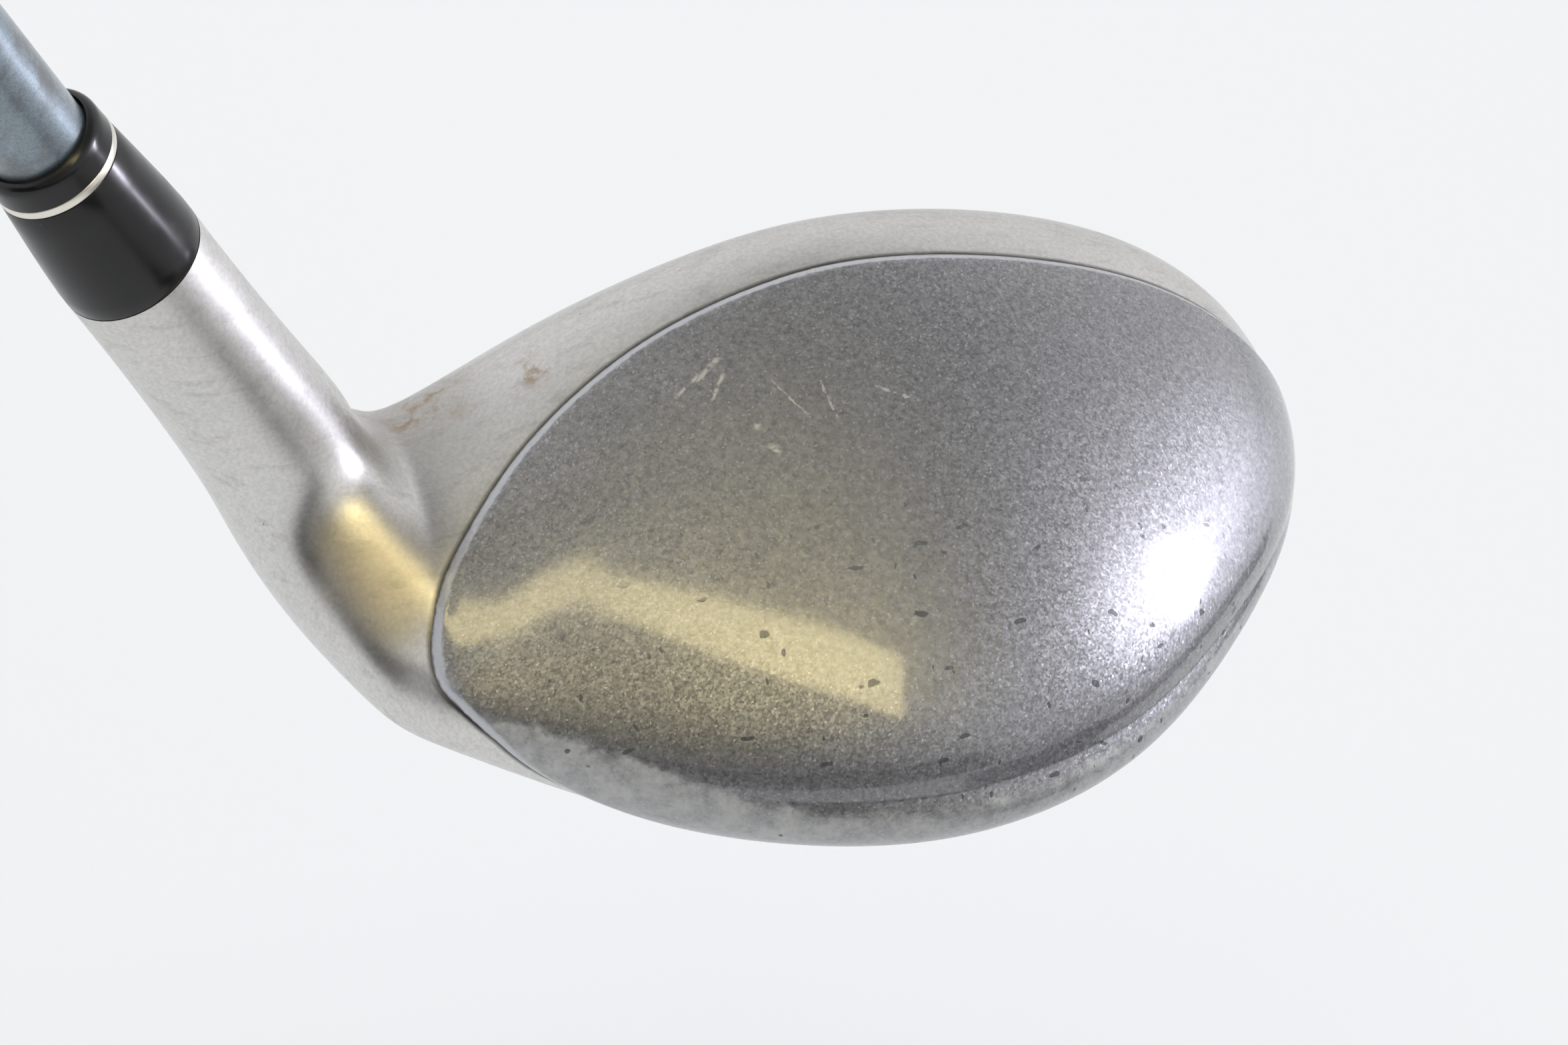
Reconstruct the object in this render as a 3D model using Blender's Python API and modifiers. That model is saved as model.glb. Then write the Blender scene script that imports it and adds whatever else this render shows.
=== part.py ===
"""Fairway wood, right-handed, standing at address on the flat of its sole.

Frame: +X runs from heel to toe, +Y towards the target and +Z up.  The origin is on
the ground, under the shaft axis plane Y = 0, where the flat of the sole touches.
"""
import math

import bmesh
import bpy
from mathutils import Vector

MM = 0.001

# Head form, in millimetres
LIE = 58.6  # degrees between the shaft and the ground
TOE_X, MID_X, HEEL_LENGTH = 57.2, 7.7, 49.9
FACE_Y, MID_Y, REAR_Y = 17.3, -8.2, -50.8
TOP_Z, MID_Z, SOLE_Z = 40.9, 16.1, -0.5
CROTCH_X, CROTCH_Z = -31.8, 35.0  # centre of the bend between head and hosel
HOSEL_X = -28.1  # where the shaft axis meets the ground

# Hosel, ferrule, shaft and grip: distances run up the shaft axis from the ground
HOSEL_TOP = 61.2
HOSEL_RADIUS = 6.9
BORE_DEPTH = 33.0
FERRULE_RING_AT, FERRULE_RING, FERRULE_LENGTH = 14.0, 0.7, 17.8
TIP_RADIUS, BUTT_RADIUS, TIP_PARALLEL = 4.7, 7.6, 110.0
FERRULE_RING_RADIUS, FERRULE_TOP_RADIUS = TIP_RADIUS + 1.2, TIP_RADIUS + 0.8
TIP_WALL, BUTT_WALL = 1.5, 1.0
CLUB_LENGTH = 1067.0
GRIP_LENGTH, GRIP_MOUTH_RADIUS, GRIP_CAP_RADIUS = 267.0, 9.8, 13.4
GRIP_CAP = 4.0

# Fits
GAP = 0.3  # clearance between any two pieces
WALL = 2.0  # casting
SHELL_PROUD, SHELL_DEPTH = 0.5, 0.7  # crown shell above and below the casting's surface
SEAT_WIDTH = 4.0  # ledge of the casting that the crown shell lies on
FACE_WALL, SOLE_WALL = 2.4, 3.0
GROOVE_DEPTH, GROOVE_WIDTH, GROOVE_PITCH, GROOVES = 0.4, 0.9, 4.2, 6

# Cross-section of the head seen from the toe: forward and up, as shares of its reach
SECTION = [
    (0.80, -1.00), (1.03, -0.84), (0.90, 0.05), (0.73, 0.87), (0.52, 1.04), (0.15, 1.04),
    (-0.32, 0.84), (-0.73, 0.48), (-0.91, 0.17), (-0.93, 0.00), (-0.98, -0.16), (-0.93, -0.42),
    (-0.55, -0.86), (0.10, -1.04),
]
SIDES = len(SECTION)
ROUND = 3 / (2 + math.cos(2 * math.pi / SIDES))  # a cage this much larger gives a circle of radius 1
CIRCLE = [
    (ROUND * math.cos((i - 2) * 2 * math.pi / SIDES), ROUND * math.sin((i - 2) * 2 * math.pi / SIDES))
    for i in range(SIDES)
]

# Front edge of the painted crown shell, seen from above, from the toe round to the skirt
SHELL_EDGE = [
    (62.0, -9.0), (54.0, -7.0), (47.0, -5.2), (39.2, -3.9), (30.8, -3.0), (17.1, -1.9), (2.9, -1.4),
    (-11.3, -2.7), (-23.2, -7.4), (-32.1, -14.9), (-36.4, -21.2), (-39.5, -27.0), (-44.0, -34.0),
    (-52.0, -44.0),
]
# Lower edge of the same shell, seen from behind, from heel to toe
SKIRT_EDGE = [
    (-45.0, 70.0), (-38.6, 34.0), (-37.3, 25.0), (-37.0, 21.8), (-36.4, 19.6), (-35.2, 18.0), (-33.0, 15.9),
    (-29.0, 12.9), (-22.0, 10.4), (-12.0, 8.8), (0.0, 8.0), (20.0, 7.6), (40.0, 8.2), (60.0, 9.6), (90.0, 11.0),
]
SOLE_EDGE = [
    (-16.0, -4.0), (-14.0, 6.0), (-4.0, 10.5), (12.0, 12.0), (27.0, 9.5), (34.0, 2.0),
    (35.0, -10.0), (30.0, -22.0), (18.0, -29.0), (4.0, -29.0), (-8.0, -22.0), (-14.0, -14.0),
]
AXIS = Vector((-math.cos(math.radians(LIE)), 0, math.sin(math.radians(LIE))))
HOSEL_FOOT = Vector((HOSEL_X, 0, 0))


def clear_scene():
    for obj in list(bpy.data.objects):
        bpy.data.objects.remove(obj, do_unlink=True)


def collection(name):
    made = bpy.data.collections.new(name)
    bpy.context.scene.collection.children.link(made)
    return made


def material(name, colour, roughness, metallic):
    made = bpy.data.materials.new(name)
    made.use_nodes = True
    shader = made.node_tree.nodes["Principled BSDF"]
    shader.inputs["Base Color"].default_value = (*colour, 1)
    shader.inputs["Roughness"].default_value = roughness
    shader.inputs["Metallic"].default_value = metallic
    return made


def reach(share, power):
    """How far a rounded outline still reaches at this share of its length."""
    return max(0.0, 1 - abs(share) ** power) ** (1 / power)


def ease(t):
    return t * t * (3 - 2 * t)


def mix(a, b, t):
    return a + (b - a) * t


def ring(centre, tilt, front, rear, up, down, roundness):
    """The cage points around centre, in a plane turned by tilt from the vertical."""
    normal = Vector((math.sin(tilt), 0, math.cos(tilt)))
    points = []
    for (head_y, head_z), (round_y, round_z) in zip(SECTION, CIRCLE):
        y = mix(head_y, round_y, roundness)
        z = mix(head_z, round_z, roundness)
        y *= front if y >= 0 else rear
        z *= up if z >= 0 else down
        points.append(centre + Vector((0, y, 0)) + normal * z)
    return points


def head_rings(grow=0.0, hosel=True):
    """The head's cage from toe to hosel, grown by this much all over."""
    front, rear = FACE_Y - MID_Y + grow, MID_Y - REAR_Y + grow
    up, down = TOP_Z - MID_Z + grow, MID_Z - SOLE_Z + grow
    toe, heel = TOE_X - MID_X + grow, HEEL_LENGTH + grow
    rings = []
    for angle in (88, 80, 66, 50, 34, 17, 0):
        s = math.sin(math.radians(angle))
        centre = Vector((MID_X + toe * s, MID_Y, MID_Z))
        sizes = front * reach(s, 2.59), rear * reach(s, 1.74), up * reach(s, 2.08), down * reach(s, 2.6)
        rings.append(ring(centre, 0, *sizes, 0))
    for step in (1, 2, 3):
        x = mix(MID_X, CROTCH_X, step / 3)
        u = (MID_X - x) / heel
        sizes = front * reach(u, 2.85), rear * reach(u, 1.84), up * reach(u, 1.30), down * reach(u, 2.78)
        rings.append(ring(Vector((x, MID_Y, MID_Z)), 0, *sizes, 0.25 * ease(step / 3)))
    if not hosel:
        return rings
    # the rings then fan round the crotch and close into the hosel's circle
    crotch = Vector((CROTCH_X, 0, CROTCH_Z))
    across = Vector((math.sin(math.radians(LIE)), 0, math.cos(math.radians(LIE))))
    far = across.dot(crotch - HOSEL_FOOT)
    neck_radius = 1.12 * HOSEL_RADIUS + grow
    for step in (1, 2, 3, 4):
        turn = step / 4
        share = ease(turn)
        tilt = turn * math.radians(LIE)
        arm = mix(CROTCH_Z - MID_Z, far, turn)
        centre = crotch - Vector((math.sin(tilt), 0, math.cos(tilt))) * arm
        centre.y = MID_Y * (1 - share)
        neck = [mix(size, neck_radius, share) for size in sizes]
        rings.append(ring(centre, tilt, *neck, 0.25 + 0.75 * share))
    start = AXIS.dot(crotch - HOSEL_FOOT)
    for share, flare in ((0.35, 1.04), (0.7, 1.0), (1.0, 1.0)):
        radius = HOSEL_RADIUS * flare + grow
        centre = HOSEL_FOOT + AXIS * mix(start, HOSEL_TOP, share)
        rings.append(ring(centre, math.radians(LIE), radius, radius, radius, radius, 1))
    return rings


def add_object(name, bm, where, look=None):
    bmesh.ops.recalc_face_normals(bm, faces=bm.faces)
    if bm.calc_volume(signed=True) < 0:
        bmesh.ops.reverse_faces(bm, faces=bm.faces)
    mesh = bpy.data.meshes.new(name)
    bm.to_mesh(mesh)
    bm.free()
    obj = bpy.data.objects.new(name, mesh)
    where.objects.link(obj)
    if look:
        mesh.materials.append(look)
    if where is cutters:
        obj.hide_render = True
        obj.display_type = "WIRE"
    return obj


def lofted(name, rings, where, look=None, levels=2, flat_end=True):
    """A closed body through the rings, smoothed by subdivision, with a crisp last ring."""
    bm = bmesh.new()
    crease = bm.edges.layers.float.new("crease_edge")
    loops = [[bm.verts.new(point * MM) for point in points] for points in rings]
    for one, two in zip(loops, loops[1:]):
        for i in range(SIDES):
            j = (i + 1) % SIDES
            bm.faces.new((one[i], one[j], two[j], two[i]))
    bm.faces.new(loops[0])
    end = bm.faces.new(list(reversed(loops[-1])))
    if flat_end:
        for edge in end.edges:
            edge[crease] = 1.0
    for face in bm.faces:
        face.smooth = True
    obj = add_object(name, bm, where, look)
    smooth = obj.modifiers.new("round", "SUBSURF")
    smooth.levels = smooth.render_levels = levels
    return obj


def prism(name, outline, low, high, along="Z"):
    """A straight-sided block over a flat outline, from low to high along Z or Y."""
    def place(a, b, h):
        return Vector((a, b, h)) if along == "Z" else Vector((a, h, b))
    bm = bmesh.new()
    under = [bm.verts.new(place(a, b, low) * MM) for a, b in outline]
    over = [bm.verts.new(place(a, b, high) * MM) for a, b in outline]
    bm.faces.new(under)
    bm.faces.new(over)
    for i in range(len(outline)):
        j = (i + 1) % len(outline)
        bm.faces.new((under[i], under[j], over[j], over[i]))
    return add_object(name, bm, cutters)


def turned(name, profile, where, look=None, segments=40, tube=True):
    """A round body about the shaft axis from (distance, radius) points."""
    side = Vector((0, 1, 0))
    out = AXIS.cross(side)
    bm = bmesh.new()
    loops = []
    for distance, radius in profile:
        centre = HOSEL_FOOT + AXIS * distance
        angles = [2 * math.pi * i / segments for i in range(segments)]
        spots = [centre + (side * math.cos(t) + out * math.sin(t)) * radius for t in angles]
        loops.append([bm.verts.new(spot * MM) for spot in spots])
    pairs = list(zip(loops, loops[1:]))
    if tube:
        pairs.append((loops[-1], loops[0]))
    else:
        bm.faces.new(loops[0])
        bm.faces.new(loops[-1])
    for one, two in pairs:
        for i in range(segments):
            j = (i + 1) % segments
            bm.faces.new((one[i], one[j], two[j], two[i]))
    for face in bm.faces:
        face.smooth = len(face.verts) == 4
    return add_object(name, bm, where, look)


def curve_through(points, steps, closed=False):
    """A smooth line through the points (Catmull-Rom)."""
    count = len(points)
    line = []
    for i in range(count if closed else count - 1):
        picks = [(i + k) % count if closed else min(max(i + k, 0), count - 1) for k in (-1, 0, 1, 2)]
        a, b, c, d = (Vector(points[k]) for k in picks)
        for step in range(steps):
            t = step / steps
            bend = (2 * a - 5 * b + 4 * c - d) * t + (3 * b - a - 3 * c + d) * t * t
            line.append(b + (c - a + bend) * t / 2)
    if not closed:
        line.append(Vector(points[-1]))
    return line


def shifted(line, by, closed=True):
    """The line moved to its left by this distance."""
    count = len(line)
    moved = []
    for i, point in enumerate(line):
        before = line[i - 1] if i or closed else point
        after = line[(i + 1) % count] if i < count - 1 or closed else point
        way = (after - before).normalized()
        spot = point + Vector((-way.y, way.x)) * by
        # on the inside of a tight bend the moved line would fold back on itself
        if min((spot - other).length for other in line) >= 0.9 * abs(by):
            moved.append(spot)
    return moved


def cut(obj, tool, operation="DIFFERENCE"):
    step = obj.modifiers.new(operation.lower(), "BOOLEAN")
    step.operation = operation
    step.solver = "EXACT"
    step.object = tool


def shell_outline(inset):
    """Plan of the crown shell: its front edge, then a loop well behind the head."""
    edge = shifted(curve_through(SHELL_EDGE, 3), inset, closed=False)
    return edge + [Vector((-52.0 + inset, -90.0)), Vector((90.0, -90.0)), Vector((90.0, -9.0 - inset))]


def below_skirt(inset):
    """Everything under the shell's lower edge, seen from behind."""
    edge = shifted(curve_through(SKIRT_EDGE, 2), inset, closed=False)
    return edge + [Vector((90.0, -30.0)), Vector((-80.0, -30.0)), Vector((-80.0, 70.0))]


def face_outline(inset):
    """Front view of the face plate, kept inside the head's own outline."""
    outline = []
    for i in range(44):
        turn = 2 * math.pi * i / 44
        along = math.copysign(abs(math.cos(turn)) ** 0.55, math.cos(turn))
        rise = math.copysign(abs(math.sin(turn)) ** 0.55, math.sin(turn))
        if along > 0:
            x = MID_X + along * (0.82 * (TOE_X - MID_X) - inset)
            s = (x - MID_X) / (TOE_X - MID_X)
            up, down = reach(s, 2.08), reach(s, 2.6)
        else:
            x = MID_X + along * (0.68 * HEEL_LENGTH - inset)
            s = (MID_X - x) / HEEL_LENGTH
            up, down = reach(s, 1.30), reach(s, 2.78)
        limit = 0.72 * up * (TOP_Z - MID_Z) if rise > 0 else 0.72 * down * (MID_Z - SOLE_Z)
        outline.append((x, MID_Z + rise * (limit - inset)))
    return outline


clear_scene()
parts = collection("fairway_wood")
cutters = collection("cutters")

steel = material("satin_stainless_steel", (0.56, 0.57, 0.56), 0.32, 1.0)
face_steel = material("blasted_maraging_steel", (0.40, 0.40, 0.40), 0.48, 1.0)
paint = material("grey_flake_paint", (0.16, 0.16, 0.17), 0.35, 0.6)
sole_steel = material("brushed_sole_steel", (0.50, 0.50, 0.50), 0.38, 1.0)
glue = material("hot_melt_glue", (0.62, 0.50, 0.28), 0.6, 0.0)
graphite = material("painted_graphite", (0.17, 0.20, 0.23), 0.3, 0.0)
black = material("black_ferrule_plastic", (0.012, 0.012, 0.013), 0.15, 0.0)
silver = material("silver_ring_plastic", (0.75, 0.74, 0.72), 0.25, 0.0)
brass = material("brass_tip_weight", (0.62, 0.44, 0.20), 0.35, 1.0)
tape = material("paper_grip_tape", (0.70, 0.65, 0.52), 0.8, 0.0)
rubber = material("black_grip_rubber", (0.02, 0.02, 0.02), 0.75, 0.0)

# Shared cutters
ground = prism("ground", [(-120, -120), (120, -120), (120, 120), (-120, 120)], -20.0, 0.0)
hollow = lofted("hollow", head_rings(-WALL, hosel=False), cutters, levels=1, flat_end=False)
seat_floor = lofted("seat_floor", head_rings(-SHELL_DEPTH - GAP), cutters)
shell_floor = lofted("shell_floor", head_rings(-SHELL_DEPTH), cutters)
face_floor = lofted("face_floor", head_rings(-FACE_WALL), cutters)
sole_floor = lofted("sole_floor", head_rings(-SOLE_WALL), cutters)

# Head casting: hosel, neck, heel, front band and sole frame in one piece
casting = lofted("head_casting", head_rings(), parts, steel)
opening = prism("crown_opening", shell_outline(SEAT_WIDTH), 0.0, 90.0)
seat = prism("crown_seat", shell_outline(0), 0.0, 90.0)
cut(opening, prism("under_opening", below_skirt(SEAT_WIDTH), -100.0, 60.0, along="Y"))
cut(seat, prism("under_seat", below_skirt(0), -100.0, 60.0, along="Y"))
face_window = prism("face_window", face_outline(0), 2.0, 60.0, along="Y")
sole_window = prism("sole_window", curve_through(SOLE_EDGE, 2, closed=True), -20.0, 8.0)
bore_bottom = HOSEL_TOP - BORE_DEPTH
bore_profile = [(bore_bottom, TIP_RADIUS + GAP), (HOSEL_TOP + 5, TIP_RADIUS + GAP)]
bore = turned("hosel_bore", bore_profile, cutters, tube=False)
cut(seat, seat_floor)
for tool in (ground, opening, hollow, seat, face_window, sole_window, bore):
    cut(casting, tool)

# Crown shell: painted, covers the crown and the skirt behind the heel
shell = lofted("rear_shell", head_rings(SHELL_PROUD), parts, paint)
cut(shell, prism("shell_blank", shell_outline(GAP), 0.0, 90.0), "INTERSECT")
cut(shell, prism("under_shell", below_skirt(GAP), -100.0, 60.0, along="Y"))
cut(shell, shell_floor)

# Face plate with score lines of even depth
face_plate = lofted("face_plate", head_rings(), parts, face_steel)
cut(face_plate, prism("face_blank", face_outline(GAP), 2.0, 60.0, along="Y"), "INTERSECT")
cut(face_plate, face_floor)
groove_floor = lofted("groove_floor", head_rings(-GROOVE_DEPTH), cutters)
for i in range(GROOVES):
    z = MID_Z - 9.0 + i * GROOVE_PITCH
    low, high = z - GROOVE_WIDTH / 2, z + GROOVE_WIDTH / 2
    corners = [(-13.0, low), (27.0, low), (27.0, high), (-13.0, high)]
    groove = prism(f"groove_{i + 1}", corners, 2.0, 60.0, along="Y")
    cut(groove, groove_floor)
    cut(face_plate, groove)

# Sole plate, ground flat where the club rests
sole_plate = lofted("sole_plate", head_rings(), parts, sole_steel)
sole_line = shifted(curve_through(SOLE_EDGE, 2, closed=True), -GAP)
cut(sole_plate, ground)
cut(sole_plate, prism("sole_blank", sole_line, -20.0, 8.0), "INTERSECT")
cut(sole_plate, sole_floor)

# Hot-melt pad: a pool of tacky glue on the inside of the sole that keeps loose bits quiet
pad_line = [(-2.0, -12.0), (4.0, -19.0), (14.0, -20.0), (21.0, -14.0), (19.0, -7.0), (8.0, -5.0)]
pad_blank = prism("pad_blank", curve_through(pad_line, 3, closed=True), -20.0, 5.0)
pad = lofted("hot_melt_pad", head_rings(-SOLE_WALL - GAP, hosel=False), parts, glue, flat_end=False)
cut(pad, pad_blank, "INTERSECT")

# Shaft: parallel at the tip, then a long even taper to the butt
shaft_foot = HOSEL_TOP - BORE_DEPTH + 2.0
shaft_end = CLUB_LENGTH - GRIP_CAP - 2 * GAP
taper_start = shaft_foot + TIP_PARALLEL


def shaft_radius(distance):
    share = max(0.0, (distance - taper_start) / (shaft_end - taper_start))
    return mix(TIP_RADIUS, BUTT_RADIUS, share)


def shaft_bore(distance):
    share = max(0.0, (distance - taper_start) / (shaft_end - taper_start))
    return shaft_radius(distance) - mix(TIP_WALL, BUTT_WALL, share)


stations = [shaft_foot, taper_start, mix(taper_start, shaft_end, 0.5), shaft_end]
outside = [(s, shaft_radius(s)) for s in stations]
inside = [(s, shaft_bore(s)) for s in reversed(stations)]
turned("shaft", outside + inside, parts, graphite)

# Tip weight: a headed plug pushed into the end of the shaft
stem = TIP_RADIUS - TIP_WALL - GAP
head = TIP_RADIUS - GAP
weight_profile = [
    (shaft_foot - 1.5, head), (shaft_foot - GAP, head), (shaft_foot - GAP, stem), (shaft_foot + 16.0, stem),
]
turned("tip_weight", weight_profile, parts, brass, segments=24, tube=False)

# Ferrule: tapered sleeve, bright ring and rounded collar, all slid over the shaft
ferrule_bore = TIP_RADIUS + GAP
ring_foot = HOSEL_TOP + FERRULE_RING_AT
ring_top = ring_foot + FERRULE_RING
ferrule_top = HOSEL_TOP + FERRULE_LENGTH
sleeve = [
    (HOSEL_TOP + GAP, HOSEL_RADIUS),
    (mix(HOSEL_TOP, ring_foot, 0.5), mix(HOSEL_RADIUS, FERRULE_RING_RADIUS, 0.46)),
    (ring_foot - GAP, FERRULE_RING_RADIUS), (ring_foot - GAP, ferrule_bore), (HOSEL_TOP + GAP, ferrule_bore),
]
turned("ferrule_sleeve", sleeve, parts, black)
band = [
    (ring_foot, ferrule_bore), (ring_foot, FERRULE_RING_RADIUS),
    (ring_top, FERRULE_RING_RADIUS), (ring_top, ferrule_bore),
]
turned("ferrule_ring", band, parts, silver)
shoulder = ferrule_top - 1.0
collar = [(ring_top + GAP, ferrule_bore), (ring_top + GAP, FERRULE_RING_RADIUS)]
for i in range(5):
    turn = math.radians(22.5 * i)
    spot = shoulder + math.sin(turn), mix(ferrule_bore, FERRULE_TOP_RADIUS, 0.3 + 0.7 * math.cos(turn))
    collar.append(spot)
collar.append((ferrule_top, ferrule_bore))
turned("ferrule_collar", collar, parts, black)

# Grip tape and grip: the tape wraps the butt of the shaft, the rubber slides over it
grip_foot = CLUB_LENGTH - GRIP_LENGTH
tape_ends = (grip_foot + 6.0, shaft_end)
tape_outside = [(s, shaft_radius(s) + 2 * GAP) for s in tape_ends]
tape_inside = [(s, shaft_radius(s) + GAP) for s in reversed(tape_ends)]
turned("grip_tape", tape_outside + tape_inside, parts, tape)

cap_foot = CLUB_LENGTH - GRIP_CAP
body_end = cap_foot - GAP
vent = 1.5
grip_profile = [
    (grip_foot, shaft_radius(grip_foot) + 3 * GAP), (grip_foot, GRIP_MOUTH_RADIUS - 0.8),
    (grip_foot + 1.5, GRIP_MOUTH_RADIUS),
    (mix(grip_foot, CLUB_LENGTH, 0.55), mix(GRIP_MOUTH_RADIUS, GRIP_CAP_RADIUS, 0.42)),
    (body_end - 10.0, GRIP_CAP_RADIUS - 0.6), (body_end - 2.0, GRIP_CAP_RADIUS),
    (body_end, GRIP_CAP_RADIUS), (body_end, shaft_radius(body_end) + 3 * GAP),
]
turned("grip", grip_profile, parts, rubber, segments=48)
cap_profile = [
    (cap_foot, GRIP_CAP_RADIUS), (CLUB_LENGTH - 1.5, GRIP_CAP_RADIUS),
    (CLUB_LENGTH, GRIP_CAP_RADIUS - 2.0), (CLUB_LENGTH, vent), (cap_foot, vent),
]
turned("grip_cap", cap_profile, parts, rubber, segments=48)
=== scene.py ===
# %% [markdown]
# # A used fairway wood on a white sweep
#
# A fairway wood is a hollow steel head on a long tapered shaft.  The head is cast
# with its hosel (the neck that takes the shaft) in one piece.  A painted crown
# shell, a face plate and a sole plate are welded into it and dressed flush.  A
# black plastic ferrule with a bright ring hides the step from hosel to shaft, and
# a rubber grip is slid over tape at the far end.
#
# The solids of the CAD model are loaded first.  They say where every piece is and
# how large it is.  The lesson then remakes the pieces one by one, in metres, with
# +X from heel to toe, +Y towards the target and +Z up.

import math

import bmesh
import bpy
import numpy as np
from mathutils import Matrix, Vector


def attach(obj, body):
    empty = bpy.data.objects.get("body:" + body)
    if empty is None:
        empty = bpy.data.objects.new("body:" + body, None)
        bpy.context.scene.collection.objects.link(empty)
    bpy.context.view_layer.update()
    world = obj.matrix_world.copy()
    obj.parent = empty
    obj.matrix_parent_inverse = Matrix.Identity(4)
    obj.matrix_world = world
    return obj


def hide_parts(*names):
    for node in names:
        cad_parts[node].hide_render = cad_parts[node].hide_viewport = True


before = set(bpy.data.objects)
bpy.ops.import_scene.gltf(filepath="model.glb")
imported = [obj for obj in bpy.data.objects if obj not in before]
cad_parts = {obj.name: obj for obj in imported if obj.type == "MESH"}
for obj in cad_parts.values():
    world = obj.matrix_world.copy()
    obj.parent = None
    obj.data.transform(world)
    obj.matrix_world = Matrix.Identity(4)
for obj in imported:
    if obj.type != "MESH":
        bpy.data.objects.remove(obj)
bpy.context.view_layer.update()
MM = 0.001
print("solids:", ", ".join(sorted(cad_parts)))

# %% [markdown]
# ## Two small helpers
#
# Every modelling step starts by letting go of what was selected, because an
# operator works on everything that is.  The club leans at its lie angle, so round
# pieces are turned about a slanted axis: a distance up the shaft and a radius are
# all that is needed to place a point on them.

# %% Helpers for the lesson
LIE = math.radians(58.6)
AXIS = Vector((-math.cos(LIE), 0, math.sin(LIE)))  # up the shaft
FOOT = Vector((-28.1, 0, 0))  # where the shaft axis meets the ground, mm
ACROSS = Vector((math.sin(LIE), 0, math.cos(LIE)))  # square to the shaft, towards the toe


def deselect():
    if bpy.context.mode != "OBJECT":
        bpy.ops.object.mode_set(mode="OBJECT")
    bpy.ops.object.select_all(action="DESELECT")


def only(obj):
    """Make obj the one selected, active object."""
    deselect()
    obj.select_set(True)
    bpy.context.view_layer.objects.active = obj
    return obj


def mix(a, b, t):
    return a + (b - a) * t


def ease(t):
    return t * t * (3 - 2 * t)


print("the shaft axis rises", round(AXIS.z, 3), "per unit and leans", round(AXIS.x, 3))

# %% [markdown]
# ## The form of the head
#
# The head is a soft pebble with a flat face, and a bent neck grows out of its heel.
# It could be sculpted, or joined from an egg and a tube, but neither gives the long
# even curves of a polished casting.  Here it is a cage of rings: cut square to the
# head from the toe to the heel, then fanned round the crotch of the neck until they
# lie square to the shaft.  Subdivision turns that cage into one smooth skin.
#
# Each ring is the same cross-section, stretched to the reach that the head has
# there.  A superellipse gives the reach, which falls slowly at first and then fast,
# as the outline of a clubhead does.

# %% The cross-section and its reach
TOE_X, MID_X, HEEL_LENGTH = 57.2, 7.7, 49.9
FACE_Y, MID_Y, REAR_Y = 17.3, -8.2, -50.8
TOP_Z, MID_Z, SOLE_Z = 40.9, 16.1, -0.5
CROTCH = Vector((-31.8, 0, 35.0))
HOSEL_RADIUS, HOSEL_TOP = 6.9, 61.2
EXTENTS = FACE_Y - MID_Y, MID_Y - REAR_Y, TOP_Z - MID_Z, MID_Z - SOLE_Z  # front, rear, up and down
# how squarely each of those four falls away towards the toe and towards the heel
TOEWARD_POWERS, HEELWARD_POWERS = (2.59, 1.74, 2.08, 2.6), (2.85, 1.84, 1.30, 2.78)

# forward and up, as shares of the reach: sole, leading edge, face, topline, crown,
# the turn at the rear, the skirt under it, and back along the sole
SECTION = [
    (0.80, -1.00), (1.03, -0.84), (0.90, 0.05), (0.73, 0.87), (0.52, 1.04), (0.15, 1.04),
    (-0.32, 0.84), (-0.73, 0.48), (-0.91, 0.17), (-0.93, 0.00), (-0.98, -0.16), (-0.93, -0.42),
    (-0.55, -0.86), (0.10, -1.04),
]
SIDES = len(SECTION)
TURN, TURN_SHARPNESS = 9, 0.62  # the corner where the crown turns into the skirt
ROUND = 3 / (2 + math.cos(2 * math.pi / SIDES))  # a cage this much larger rounds to radius 1
CIRCLE = [
    (ROUND * math.cos((i - 2) * 2 * math.pi / SIDES), ROUND * math.sin((i - 2) * 2 * math.pi / SIDES))
    for i in range(SIDES)
]


def reach(share, power):
    return max(0.0, 1 - abs(share) ** power) ** (1 / power)


def sizes_at(share, powers):
    """Front, rear, up and down sizes of the section, a share of the way to the toe or heel."""
    return [extent * reach(share, power) for extent, power in zip(EXTENTS, powers)]


def ring(centre, tilt, front, rear, up, down, roundness):
    """The points of one ring; roundness 0 is the head's section and 1 the hosel's circle."""
    normal = Vector((math.sin(tilt), 0, math.cos(tilt)))
    points = []
    for (head_y, head_z), (round_y, round_z) in zip(SECTION, CIRCLE):
        y = mix(head_y, round_y, roundness)
        z = mix(head_z, round_z, roundness)
        y *= front if y >= 0 else rear
        z *= up if z >= 0 else down
        points.append(centre + Vector((0, y, 0)) + normal * z)
    return points


print(SIDES, "points in the section")

# %% Rings from toe to heel
START_ROUND, NECK_FLARE = 0.25, 1.12  # roundness at the crotch; the neck's width there, in hosel widths
rings = []
for angle in (88, 80, 66, 50, 34, 17, 0):
    s = math.sin(math.radians(angle))
    centre = Vector((MID_X + (TOE_X - MID_X) * s, MID_Y, MID_Z))
    rings.append(ring(centre, 0, *sizes_at(s, TOEWARD_POWERS), 0))
for step in (1, 2, 3):
    x = mix(MID_X, CROTCH.x, step / 3)
    sizes = sizes_at((MID_X - x) / HEEL_LENGTH, HEELWARD_POWERS)
    rings.append(ring(Vector((x, MID_Y, MID_Z)), 0, *sizes, START_ROUND * ease(step / 3)))
print(len(rings), "rings across the head")

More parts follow.
